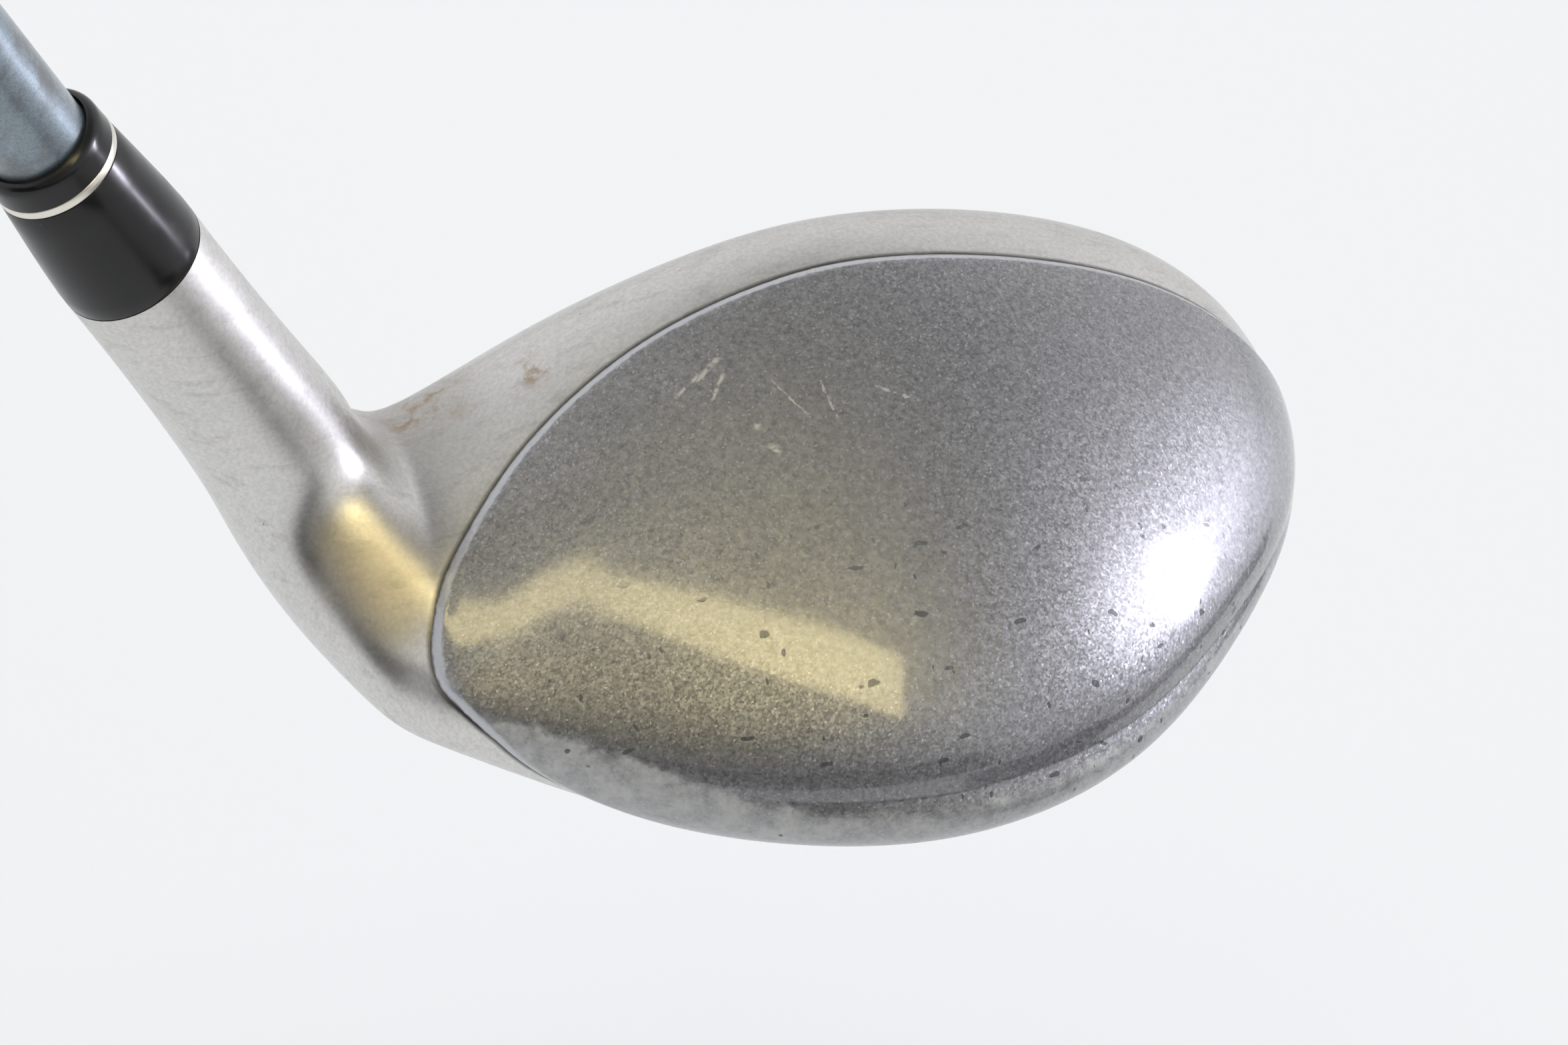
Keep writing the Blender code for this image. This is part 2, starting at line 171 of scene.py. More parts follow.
# %% Rings round the crotch and up the hosel
start = AXIS.dot(CROTCH - FOOT)
far = ACROSS.dot(CROTCH - FOOT)
for step in (1, 2, 3, 4):
    turn = step / 4
    tilt = turn * LIE
    centre = CROTCH - Vector((math.sin(tilt), 0, math.cos(tilt))) * mix(CROTCH.z - MID_Z, far, turn)
    centre.y = MID_Y * (1 - ease(turn))
    neck = [mix(size, NECK_FLARE * HOSEL_RADIUS, ease(turn)) for size in sizes]
    rings.append(ring(centre, tilt, *neck, START_ROUND + (1 - START_ROUND) * ease(turn)))
for share, flare in ((0.35, 1.04), (0.7, 1.0), (1.0, 1.0)):
    radius = HOSEL_RADIUS * flare
    rings.append(ring(FOOT + AXIS * mix(start, HOSEL_TOP, share), LIE, radius, radius, radius, radius, 1))
print(len(rings), "rings in all, the last", round(HOSEL_TOP, 1), "mm up the shaft")

# %% [markdown]
# The cage itself is one flat disc with as many corners as the section, extruded ring
# by ring, and its corners are then moved onto the rings.  The last ring is creased,
# so that the hosel ends in a crisp edge where the ferrule sits.

# %% Extrude the cage
deselect()
bpy.ops.mesh.primitive_circle_add(vertices=SIDES, radius=0.01, fill_type="NGON")
head = bpy.context.object
head.name = "head_form"
bpy.ops.object.mode_set(mode="EDIT")
for _ in rings[1:]:
    bpy.ops.mesh.extrude_region_move(TRANSFORM_OT_translate={"value": (0, 0, 0.005)})
bpy.ops.transform.edge_crease(value=1.0)
bpy.ops.object.mode_set(mode="OBJECT")
for i, point in enumerate(p for points in rings for p in points):
    head.data.vertices[i].co = point * MM
only(head)
bpy.ops.object.mode_set(mode="EDIT")
bpy.ops.mesh.select_all(action="SELECT")
bpy.ops.mesh.normals_make_consistent(inside=False)
bpy.ops.object.mode_set(mode="OBJECT")

# The crown turns into the skirt over an edge that is nearly sharp.  One corner of each
# ring from the toe to the neck lies on that edge, and the crease fades out at the neck.
LAST_CREASED = 8
attributes = head.data.attributes
creases = attributes.get("crease_edge") or attributes.new("crease_edge", "FLOAT", "EDGE")
for edge in head.data.edges:
    first, second = sorted(edge.vertices)
    ring_at, corner = divmod(first, SIDES)
    if corner == TURN and second == first + SIDES and ring_at <= LAST_CREASED:
        creases.data[edge.index].value = TURN_SHARPNESS * (1.0 if ring_at < LAST_CREASED else 0.5)
smooth = head.modifiers.new("smooth", "SUBSURF")
smooth.levels = smooth.render_levels = 4
bpy.ops.object.modifier_apply(modifier=smooth.name)
bpy.ops.object.shade_smooth()
print("head form:", len(head.data.polygons), "faces")

# %% [markdown]
# ## Where the plates meet
#
# The seams run freely over the form, so no ring of the cage follows them.  A knife
# cut would need a window, and a Boolean would leave ragged shading on such a glossy
# skin.  Instead every corner is told how far it lies from the seam, measured along
# the surface, and the skin is then split exactly where that distance passes a
# chosen value.  The same distance later lifts the painted shell, rounds its edge
# and sinks the weld line, all with an even width.

# %% Lines of the seams, in millimetres
SHELL_EDGE = [  # front edge of the painted shell, seen from above
    (62.0, -9.0), (54.0, -7.0), (47.0, -5.2), (39.2, -3.9), (30.8, -3.0), (17.1, -1.9), (2.9, -1.4),
    (-11.3, -2.7), (-23.2, -7.4), (-32.1, -14.9), (-36.4, -21.2), (-39.5, -27.0), (-44.0, -34.0),
    (-52.0, -44.0),
]
SKIRT_EDGE = [  # lower edge of the painted shell, seen from behind
    (-45.0, 70.0), (-38.6, 34.0), (-37.3, 25.0), (-37.0, 21.8), (-36.4, 19.6), (-35.2, 18.0), (-33.0, 15.9),
    (
        -29.0, 12.9,
    ), (-22.0, 10.4), (-12.0, 8.8), (0.0, 8.0), (20.0, 7.6), (40.0, 8.2), (60.0, 9.6), (90.0, 11.0),
]
SOLE_EDGE = [  # outline of the sole plate, seen from below
    (-16.0, -4.0), (-14.0, 6.0), (-4.0, 10.5), (12.0, 12.0), (27.0, 9.5), (34.0, 2.0),
    (35.0, -10.0), (30.0, -22.0), (18.0, -29.0), (4.0, -29.0), (-8.0, -22.0), (-14.0, -14.0),
]


def curve_through(points, steps, closed=False):
    """A smooth line through the points (Catmull-Rom)."""
    count = len(points)
    line = []
    for i in range(count if closed else count - 1):
        picks = [(i + k) % count if closed else min(max(i + k, 0), count - 1) for k in (-1, 0, 1, 2)]
        a, b, c, d = (np.array(points[k], float) for k in picks)
        for t in np.arange(steps) / steps:
            line.append(
                b + (c - a + (2 * a - 5 * b + 4 * c - d) * t + (3 * b - a - 3 * c + d) * t * t) * t / 2,
            )
    line.append(np.array(points[0 if closed else -1], float))
    return np.array(line)


def face_outline():
    """A soft-cornered line that follows the outline of the head, some way inside it."""
    squareness, height_share, toe_share, heel_share = 0.55, 0.72, 0.82, 0.68
    outline = []
    for turn in np.arange(64) * 2 * math.pi / 64:
        along = math.copysign(abs(math.cos(turn)) ** squareness, math.cos(turn))
        rise = math.copysign(abs(math.sin(turn)) ** squareness, math.sin(turn))
        if along > 0:
            s = toe_share * along
            x, sizes = MID_X + s * (TOE_X - MID_X), sizes_at(s, TOEWARD_POWERS)
        else:
            s = heel_share * along
            x, sizes = MID_X + s * HEEL_LENGTH, sizes_at(s, HEELWARD_POWERS)
        _, _, up, down = sizes
        outline.append((x, MID_Z + rise * (height_share * (up if rise > 0 else down))))
    return np.array(outline + outline[:1])


seams = {
    "crown": curve_through(SHELL_EDGE, 10),
    "skirt": curve_through(SKIRT_EDGE, 8),
    "sole": curve_through(SOLE_EDGE, 8, closed=True),
    "face": face_outline(),
}
for name, line in seams.items():
    print(name, "seam:", round(float(np.linalg.norm(np.diff(line, axis=0), axis=1).sum())), "mm long")

# %% Distance from a seam, along the skin
BLOCK, STEEPEST = 8000, 0.08  # corners handled at a time; the least share of a slope that counts
CORNER = 5.0  # over so many mm the crown and skirt edges of the shell round into each other
OUTSIDE = -20.0
places = np.empty(len(head.data.vertices) * 3)
normals = np.empty_like(places)
head.data.vertices.foreach_get("co", places)
head.data.vertices.foreach_get("normal", normals)
places = places.reshape(-1, 3) / MM
normals = normals.reshape(-1, 3)


def distance(line, axes):
    """Distance of every corner from a flat line, positive on the line's left.

    It is longer than the flat distance where the skin slopes away from the line.
    """
    spots, tilts = places[:, axes], normals[:, axes]
    found = np.empty(len(spots))
    a, ab = line[:-1], np.diff(line, axis=0)
    for first in range(0, len(spots), BLOCK):
        p = spots[first:first + BLOCK, None]
        t = np.clip(((p - a) * ab).sum(2) / (ab * ab).sum(1), 0, 1)
        gap = p - a - t[..., None] * ab
        apart = np.linalg.norm(gap, axis=2)
        k = apart.argmin(1)
        row = np.arange(len(k))
        side = np.sign(ab[k, 0] * (p[:, 0, 1] - a[k, 1]) - ab[k, 1] * (p[:, 0, 0] - a[k, 0]))
        way = gap[row, k] / np.maximum(apart[row, k], 1e-6)[:, None]
        slope = (way * tilts[first:first + BLOCK]).sum(1)
        found[first:first + BLOCK] = side * apart[row, k] / np.sqrt(np.maximum(1 - slope ** 2, STEEPEST))
    return found


def inside_of(name, axes, half, witness):
    """Distance inside a closed seam on one half of the head; the witness is a place inside it."""
    field = distance(seams[name], axes)
    if field[np.abs(places - witness).sum(1).argmin()] < 0:
        field = -field
    return np.where(half, field, OUTSIDE)


crown = distance(seams["crown"], [0, 1])
skirt = distance(seams["skirt"], [0, 2])
blend = np.clip(0.5 + (skirt - crown) / CORNER, 0, 1)
shell_in = mix(skirt, crown, blend) - CORNER / 2 * blend * (1 - blend)
face_in = inside_of("face", [0, 2], places[:, 1] > MID_Y, [10, 12, 18])
sole_in = inside_of("sole", [0, 1], places[:, 2] < MID_Z, [10, -8, 0])
fields = {"shell": shell_in, "face": face_in, "sole": sole_in}
for name, field in fields.items():
    print(name, "takes", int((field > 0).sum()), "of", len(field), "corners")

# %% Split the skin at chosen distances
SNAP = 0.02  # a corner this near to a level is taken to be on it, mm
bm = bmesh.new()
bm.from_mesh(head.data)
layers = {name: bm.verts.layers.float.new(name) for name in fields}
for name, layer in layers.items():
    for vert, value in zip(bm.verts, fields[name]):
        vert[layer] = value


def split_at(layer, level):
    """Cut every face that the level crosses, from edge to edge."""
    for vert in bm.verts:
        if abs(vert[layer] - level) < SNAP:
            vert[layer] = level
    crossed = [e for e in bm.edges if (e.verts[0][layer] - level) * (e.verts[1][layer] - level) < 0]
    for edge in crossed:
        one, two = edge.verts
        share = (level - one[layer]) / (two[layer] - one[layer])
        values = {l: mix(one[l], two[l], share) for l in layers.values()}
        vert = bmesh.utils.edge_split(edge, one, share)[1]
        for l, value in values.items():
            vert[l] = value
        vert[layer] = level
    touched = [v for v in bm.verts if v[layer] == level]
    for face in list(dict.fromkeys(f for v in touched for f in v.link_faces)):
        on_line = [v for v in face.verts if v[layer] == level]
        if len(on_line) != 2:
            continue
        one, two = on_line
        if not any(edge.other_vert(one) is two for edge in one.link_edges):
            bmesh.utils.face_split(face, one, two)


WELD_HALF = 0.22  # half the width of the groove round a plate, mm
for level in (-0.3, 0.0, 0.12, 0.3, 0.55, 0.85, 1.15, 1.5):
    split_at(layers["shell"], level)
for name in ("face", "sole"):
    for level in (-WELD_HALF, 0.0, WELD_HALF):
        split_at(layers[name], level)
print("after splitting:", len(bm.faces), "faces")

# %% [markdown]
# The painted shell stands about half a millimetre proud of the bare casting and has
# a rounded edge, a little over a millimetre wide.  The plates are dressed flush, so
# only a fine groove shows round them.

# %% Ease two corners of the form
# The cage leaves the heel end of the crown a little hollow and the rear toe corner a
# little full.  A soft push on the skin, fading with distance, mends both.
HEEL_PRESS, HEEL_SPOT, HEEL_SPREAD = 2.6, (-38.2, -20.5), (3.2, 5.5)
TOE_PRESS, TOE_SPOT, TOE_SPREAD = 1.5, (44, -33), (14.0, 14.0)


def nearness(x, y, spot, spread):
    """1 at a spot seen from above, falling off like a bell."""
    return math.exp(-((x - spot[0]) / spread[0]) ** 2 / 2 - ((y - spot[1]) / spread[1]) ** 2 / 2)


for vert in bm.verts:
    x, y, z = vert.co / MM
    upper = ease(min(1.0, max(0.0, (z - 8) / 8)))  # the sole stays where it is
    down = HEEL_PRESS * nearness(x, y, HEEL_SPOT, HEEL_SPREAD) * upper
    inward = TOE_PRESS * nearness(x, y, TOE_SPOT, TOE_SPREAD)
    vert.co += Vector((-inward, inward, -down)) * MM
print("pressed in by up to", HEEL_PRESS, "mm")

# %% Lift the shell, round its edge and sink the weld lines
PROUD, EDGE_WIDTH = 0.55, 1.25
DIP, DIP_WIDTH, WELD_DEPTH = 0.04, 0.15, 0.13
bm.normal_update()
moves = {}
for vert in bm.verts:
    inside = vert[layers["shell"]]
    if inside > 0:
        rise = -DIP + (PROUD + DIP) * math.sin(math.pi / 2 * min(1.0, inside / EDGE_WIDTH))
    else:
        rise = -DIP * max(0.0, 1 + inside / DIP_WIDTH)
    for name in ("face", "sole"):
        rise -= WELD_DEPTH * max(0.0, 1 - abs(vert[layers[name]]) / WELD_HALF)
    moves[vert] = vert.normal * rise
for vert, move in moves.items():
    vert.co += move * MM
    vert.co.z = max(vert.co.z, 0.0)  # the sole is ground flat where the club rests
bm.to_mesh(head.data)
bm.free()
print("the shell stands", PROUD, "mm proud over an edge", EDGE_WIDTH, "mm wide")

# %% [markdown]
# ## Four pieces out of one form
#
# Each plate is now lifted out of the form along its seam, by the distances stored
# on the corners, and given a wall, so that it is a closed piece like the real one.

# %% Separate the plates
mesh = head.data


def field_of(name):
    values = np.empty(len(mesh.vertices))
    mesh.attributes[name].data.foreach_get("value", values)
    return values


def lift_out(field, name):
    """Separate the faces that lie inside a field as their own object."""
    values = field_of(field)
    only(head)
    bpy.ops.object.mode_set(mode="EDIT")
    bpy.ops.mesh.select_mode(type="FACE")
    bpy.ops.mesh.select_all(action="DESELECT")
    bpy.ops.object.mode_set(mode="OBJECT")
    for face in mesh.polygons:
        face.select = bool(values[list(face.vertices)].mean() > 0)
    bpy.ops.object.mode_set(mode="EDIT")
    bpy.ops.mesh.separate(type="SELECTED")
    bpy.ops.object.mode_set(mode="OBJECT")
    piece = [o for o in bpy.context.selected_objects if o is not head][0]
    piece.name = piece.data.name = name
    return piece


rear_shell = lift_out("shell", "painted_crown_shell")
face_plate = lift_out("face", "lofted_face_plate")
sole_plate = lift_out("sole", "ground_sole_plate")
head.name = mesh.name = "cast_head_and_hosel"
casting = head


def give_wall(piece, thickness):
    only(piece)
    wall = piece.modifiers.new("wall", "SOLIDIFY")
    wall.thickness = thickness * MM
    wall.offset = -1
    bpy.ops.object.modifier_apply(modifier=wall.name)
    bpy.ops.object.shade_smooth_by_angle(angle=math.radians(50))
    print(piece.name, sum(len(p.vertices) - 2 for p in piece.data.polygons), "triangles")


WALLS = ((rear_shell, 1.0), (face_plate, 2.0), (sole_plate, 2.0), (casting, 0.9))  # mm
for piece, thickness in WALLS:
    give_wall(piece, thickness)

# %% [markdown]
# ## Pieces turned on the shaft
#
# The ferrule, the shaft and the grip are all round about one axis.  Half of their
# section is drawn as a ring of corners, each a distance up the shaft and a radius,
# and spun once round the axis.  Cylinders with bevels would do for the ferrule, but
# not for the long taper or for the soft shoulder of the collar.

# %% A piece from its half section
BORE = 0.05  # how far two pieces that touch are kept apart, mm


def turned(name, outline, sides=96, bevel=0.0, angle=35):
    """Spin a closed outline of (distance up the shaft, radius) pairs, in mm, about the shaft."""
    deselect()
    bpy.ops.mesh.primitive_circle_add(vertices=len(outline), radius=0.01, fill_type="NOTHING")
    piece = bpy.context.object
    piece.name = piece.data.name = name
    for vert, (along, radius) in zip(piece.data.vertices, outline):
        vert.co = (FOOT + AXIS * along + ACROSS * radius) * MM
    bpy.ops.object.mode_set(mode="EDIT")
    bpy.ops.mesh.select_all(action="SELECT")
    bpy.ops.mesh.spin(steps=sides, angle=2 * math.pi, center=FOOT * MM, axis=AXIS)
    bpy.ops.mesh.select_all(action="SELECT")
    bpy.ops.mesh.remove_doubles(threshold=1e-6)
    bpy.ops.mesh.normals_make_consistent(inside=False)
    bpy.ops.object.mode_set(mode="OBJECT")
    if bevel:
        soft = piece.modifiers.new("soft edges", "BEVEL")
        soft.width, soft.segments, soft.limit_method = bevel * MM, 3, "ANGLE"
        soft.angle_limit = math.radians(angle)
        bpy.ops.object.modifier_apply(modifier=soft.name)
    bpy.ops.object.shade_smooth_by_angle(angle=math.radians(angle))
    print(name, sum(len(p.vertices) - 2 for p in piece.data.polygons), "triangles")
    return piece


# %% [markdown]
# The ferrule is three rings of plastic slid on over the tip.  Its long sleeve swells
# very slightly before it meets the hosel, the bright ring is flush with it, and the
# collar rounds over and dips to a small cove of glue against the shaft.

# %% The ferrule
TIP_RADIUS, BUTT_RADIUS = 4.7, 7.6
SLEEVE_BORE = TIP_RADIUS + BORE
sleeve_line = [
    (HOSEL_TOP + BORE, 6.86), (61.5, 6.92), (63.0, 6.9), (66.0, 6.72), (69.0, 6.48), (72.0, 6.22),
    (75.05, 5.95),
]
sleeve = turned("ferrule_sleeve_gloss", sleeve_line + [
    (75.05, SLEEVE_BORE), (HOSEL_TOP + BORE, SLEEVE_BORE),
], bevel=0.08)
bright_ring = turned("ferrule_bright_ring", [
    (75.1, SLEEVE_BORE), (75.1, 5.95), (75.5, 5.97), (75.95, 5.93), (75.95, SLEEVE_BORE),
], bevel=0.06)
shoulder = [(76.0, 5.9), (76.6, 5.88), (77.4, 5.84)]
for step in range(1, 9):
    turn = math.radians(90 * step / 8)
    shoulder.append((77.8 + 1.15 * math.sin(turn), 5.0 + 0.83 * math.cos(turn)))  # a quarter of an oval
collar = turned("ferrule_collar_gloss", shoulder + [
    (78.7, 4.92), (78.2, 4.8), (78.2, SLEEVE_BORE), (76.0, SLEEVE_BORE),
], angle=50)
glue = turned("glue_cove", [
    (78.25, 4.78), (78.4, 4.79), (78.62, 4.74), (78.75, 4.71), (78.25, 4.71),
], sides=64)

# %% [markdown]
# The shaft is a tube of carbon fibre, parallel at the tip and then a long even
# taper.  Its half section is drawn outside and back inside, so that it stays a tube
# with a true wall.

# %% The shaft
SHAFT_FOOT, TAPER_START, BUTT_END = 30.2, 140.2, 1062.4
TIP_WALL, BUTT_WALL, CHAMFER = 1.5, 1.0, 0.4


def shaft_radius(along):
    share = (along - TAPER_START) / (BUTT_END - TAPER_START)
    return mix(TIP_RADIUS, BUTT_RADIUS, min(max(share, 0), 1))


def shaft_wall(along):
    return mix(TIP_WALL, BUTT_WALL, (along - 30) / 1032)


stations = [SHAFT_FOOT, 31.0, 60, 100, TAPER_START]
stations += [mix(TAPER_START, BUTT_END, i / 24) for i in range(1, 25)]
outside = [(along, shaft_radius(along) - (CHAMFER if along == SHAFT_FOOT else 0.0)) for along in stations]
inside = [(along, shaft_radius(along) - shaft_wall(along)) for along in reversed(stations)]
shaft = turned("painted_graphite_shaft", outside + inside, sides=96)

# %% [markdown]
# The grip is moulded rubber: a thin rolled lip at the mouth, a taper that follows
# the hands, and a domed cap with a vent hole, through which air leaves when the grip
# is slid on.  Shallow rings at both ends are cut into the section itself.

# %% The grip and its cap
GRIP_MOUTH, GRIP_END = 800, 1067
MOUTH_RADIUS, END_RADIUS = 9.8, 13.35
CUT, CUT_EVERY = 0.35, 5  # depth and spacing of the shallow rings, mm


def grip_radius(along):
    share = (along - GRIP_MOUTH) / (GRIP_END - GRIP_MOUTH)
    return mix(MOUTH_RADIUS, END_RADIUS, ease(min(max(share, 0), 1)))


lip = [
    (
        800.0, 8.2,
    ), (799.9, 8.6), (800.2, 9.2), (801.0, 9.7), (802.2, 9.9), (803.4, 9.75), (804.4, 9.45), (806.0, 9.55),
]
body = []
for along in np.arange(808.0, 1061.0, 1.0):
    near_an_end = along < 826 or along > 1042
    groove = CUT if near_an_end and along % CUT_EVERY == 0 else 0.0
    body.append((float(along), grip_radius(along) - groove))
mouth_of_cap = [(1062.7, grip_radius(1062) - 0.3), (1062.7, 8.25)]
grip = turned("rubber_grip", lip + body + mouth_of_cap, sides=96, angle=45)
cap_top = [
    (1063.0, 13.1), (1064.2, 13.38), (1065.4, 13.0), (1066.3, 12.0), (1066.8, 10.4), (1067.0, 8.0),
    (1067.0, 5.4),
]
cap_dish = [(1066.5, 4.9), (1066.4, 2.2), (1066.2, 1.5), (1064.6, 1.4), (1064.6, 0.0), (1063.0, 0.0)]
grip_cap = turned("rubber_grip_cap", cap_top + cap_dish, sides=96, angle=45)

# %% [markdown]
# ## Finishes
#
# Colours are written as the usual sRGB hex values and turned to the linear values
# that shaders work with.  One function adds a node: an input that is given another
# node's output is linked, and any other value is set.

# %% Tools for the finishes
def linear(hex_colour):
    values = [int(hex_colour[i:i + 2], 16) / 255 for i in (1, 3, 5)]
    return [v / 12.92 if v <= 0.04045 else ((v + 0.055) / 1.055) ** 2.4 for v in values] + [1.0]


def new_finish(name):
    finish = bpy.data.materials.new(name)
    finish.use_nodes = True
    finish.node_tree.nodes.clear()
    return finish, finish.node_tree


def add(tree, kind, inputs=None, **settings):
    """Add a shader node.  An input takes a value, a socket, or a node, whose first live output is linked."""
    made = tree.nodes.new("ShaderNode" + kind)
    for name, value in settings.items():
        setattr(made, name, value)
    for name, value in (inputs or {}).items():
        if isinstance(value, bpy.types.Node):
            value = next(output for output in value.outputs if output.enabled)
        if isinstance(value, bpy.types.NodeSocket):
            tree.links.new(value, made.inputs[name])
        else:
            made.inputs[name].default_value = value
    return made


def per(millimetres):
    """The texture scale that repeats once in so many millimetres."""
    return 1000 / millimetres


print("one speck in 0.2 mm needs a scale of", per(0.2))

# %% [markdown]
# ### Satin stainless steel, cast and tumbled
#
# The casting is 17-4 stainless steel, belt ground and then tumbled, which leaves a
# satin skin with a very fine grain.  Bare metal takes its look from what it
# reflects, so its colour is light and its roughness does the work: a slow cloud of
# more and less polished areas, a fine grain on top, and short handling scratches.
# Use has added dark specks.  Beside the neck the steel carries painted shade in
# grey and a painted reflection in brown blotches, a straw-brown patch on the neck is
# a painted warm reflection, and a dark line along the shell's edge is painted shade
# in the corner of its step.

# %% Satin steel
def specks(tree, coords, size, every, keep, stretch=(1, 1, 1), turn=0.6):
    """1 in scattered marks: so many mm long, one in each cell of so many mm, and only a share is kept."""
    warp = add(tree, "TexNoise", {"Vector": coords, "Scale": per(size * 1.3), "Detail": 3.0})
    moved = add(tree, "VectorMath", {0: warp.outputs["Color"], 1: (0.5, 0.5, 0.5)}, operation="SUBTRACT")
    moved = add(tree, "VectorMath", {0: moved, "Scale": size * 0.9 * MM}, operation="SCALE")
    moved = add(tree, "VectorMath", {0: coords, 1: moved}, operation="ADD")
    lay = add(tree, "Mapping", {
        "Vector": moved, "Rotation": (turn, turn * 0.7, turn * 1.9), "Scale": stretch,
    })
    cells = add(tree, "TexVoronoi", {"Vector": lay, "Scale": per(every)})
    near = add(tree, "MapRange", {
        "Value": cells.outputs["Distance"], "From Min": 0.5 * size / every, "From Max": 0.35 * size / every,
    }, interpolation_type="SMOOTHSTEP")
    pick = add(tree, "SeparateColor", {0: cells.outputs["Color"]})
    kept = add(tree, "Math", {0: pick, 1: 1 - keep}, operation="GREATER_THAN")
    return add(tree, "Math", {0: near, 1: kept}, operation="MULTIPLY")


def near_place(tree, coords, place, inner, outer):
    """1 within a distance of a place, fading to 0; all in mm."""
    away = add(tree, "VectorMath", {0: coords, 1: [c * MM for c in place]}, operation="DISTANCE")
    return add(tree, "MapRange", {
        "Value": away, "From Min": outer * MM, "From Max": inner * MM,
    }, interpolation_type="SMOOTHSTEP")


steel, tree = new_finish("satin cast stainless steel")
coords = add(tree, "TexCoord").outputs["Object"]
cloud = add(tree, "TexNoise", {"Vector": coords, "Scale": per(9), "Detail": 5.0, "Roughness": 0.6})
grain = add(tree, "TexNoise", {"Vector": coords, "Scale": per(0.42), "Detail": 2.0, "Roughness": 0.7})
rubbed = add(tree, "Mapping", {"Vector": coords, "Rotation": (0.3, 0.9, 0.2), "Scale": (1.0, 9.0, 9.0)})
lines = add(tree, "TexNoise", {"Vector": rubbed, "Scale": per(2.5), "Detail": 4.0, "Roughness": 0.75})
# light grey with a little warmth, as bare 17-4 has
tint = add(tree, "Mix", {0: cloud, 6: linear("#cccbc9"), 7: linear("#dddbd8")}, data_type="RGBA")
fine = add(tree, "MapRange", {
    "Value": grain, "From Min": 0.3, "From Max": 0.7, "To Min": 0.86, "To Max": 1.06,
})
smudge = add(tree, "TexNoise", {"Vector": rubbed, "Scale": per(14), "Detail": 6.0, "Roughness": 0.7})
smudge = add(tree, "MapRange", {
    "Value": smudge, "From Min": 0.52, "From Max": 0.78, "To Min": 1.0, "To Max": 0.72,
})
fine = add(tree, "Math", {0: fine, 1: smudge}, operation="MULTIPLY")
tint = add(tree, "VectorMath", {0: tint, "Scale": fine}, operation="SCALE")
# painted shade: the steel is made greyer in the hollow beside the neck
painted_neck_shade = near_place(tree, coords, (-31, 2, 26), 2, 11)
painted_neck_shade = add(tree, "Math", {0: painted_neck_shade, 1: 0.4}, operation="MULTIPLY")
tint = add(tree, "Mix", {0: painted_neck_shade, 6: tint, 7: linear("#7d7871")}, data_type="RGBA")
# painted reflection: brown blotches darken the steel beside the neck, with a small one above it on the front
# band
blot = add(tree, "TexNoise", {"Vector": coords, "Scale": per(3.2), "Detail": 6.0, "Roughness": 0.65})
blot = add(tree, "MapRange", {
    "Value": blot, "From Min": 0.48, "From Max": 0.66,
}, interpolation_type="SMOOTHSTEP")
beside = near_place(tree, coords, (-29.5, 3.5, 26), 1.5, 6.5)
above = near_place(tree, coords, (-20, 0.4, 31.3), 0.5, 3.0)
where = add(tree, "Math", {0: beside, 1: above}, operation="MAXIMUM")
where = add(tree, "Math", {0: where, 1: blot}, operation="MULTIPLY")
where = add(tree, "Math", {0: where, 1: 0.75}, operation="MULTIPLY")
# the brown blotches of painted reflection are mixed in here
tint = add(tree, "Mix", {0: where, 6: tint, 7: linear("#94764f")}, data_type="RGBA")
# painted warm reflection: one patch of the neck is made straw brown, and the same patch is made rougher
# below
straw = near_place(tree, coords, (-39.5, -15, 24), 1, 9)
straw = add(tree, "Math", {0: straw, 1: 0.4}, operation="MULTIPLY")
tint = add(tree, "Mix", {0: straw, 6: tint, 7: linear("#b3a182")}, data_type="RGBA")
# dark specks and short nicks
marks = add(tree, "Math", {
    0: specks(tree, coords, 0.5, 5.5, 0.3, (1, 1, 2.2)),
    1: specks(tree, coords, 0.25, 2.4, 0.22, (1, 1.6, 1), 2.1),
}, operation="MAXIMUM")
marks = add(tree, "Math", {0: marks, 1: 0.6}, operation="MULTIPLY")
tint = add(tree, "Mix", {0: marks, 6: tint, 7: linear("#4a4643")}, data_type="RGBA")
# painted shade: a dark line on the steel in the corner at the foot of the painted shell's step
edge = add(tree, "Attribute", attribute_name="shell")
painted_step_shade = add(tree, "MapRange", {
    "Value": edge.outputs["Fac"], "From Min": -0.5, "From Max": -0.05, "To Max": 0.85,
})
tint = add(tree, "Mix", {0: painted_step_shade, 6: tint, 7: linear("#3c3a38")}, data_type="RGBA")
rough = add(tree, "MapRange", {
    "Value": cloud, "From Min": 0.3, "From Max": 0.7, "To Min": 0.27, "To Max": 0.36,
})
scuff = add(tree, "MapRange", {"Value": lines, "From Min": 0.55, "From Max": 0.8, "To Max": 0.14})
rough = add(tree, "Math", {0: rough, 1: scuff}, operation="ADD")
rough = add(tree, "Math", {0: straw, 1: 0.45, 2: rough}, operation="MULTIPLY_ADD")
# the hosel is brushed duller towards its top
height = add(tree, "SeparateXYZ", {0: coords})
duller = add(tree, "MapRange", {
    "Value": height.outputs["Z"], "From Min": 28 * MM, "From Max": 48 * MM, "To Max": 0.08,
})
rough = add(tree, "Math", {0: rough, 1: duller}, operation="ADD")
rough = add(tree, "Mix", {0: marks, 2: rough, 3: 0.8})
relief = add(tree, "Math", {0: lines, 1: 0.35, 2: grain}, operation="MULTIPLY_ADD")
relief = add(tree, "Math", {0: relief, 1: marks}, operation="SUBTRACT")
bump = add(tree, "Bump", {"Height": relief, "Strength": 0.5, "Distance": 0.015 * MM})
steel_shader = add(tree, "BsdfPrincipled", {
    "Base Color": tint, "Metallic": 1.0, "Roughness": rough, "Normal": bump,
})
add(tree, "OutputMaterial", {"Surface": steel_shader})
print(steel.name, "has", len(tree.nodes), "nodes")
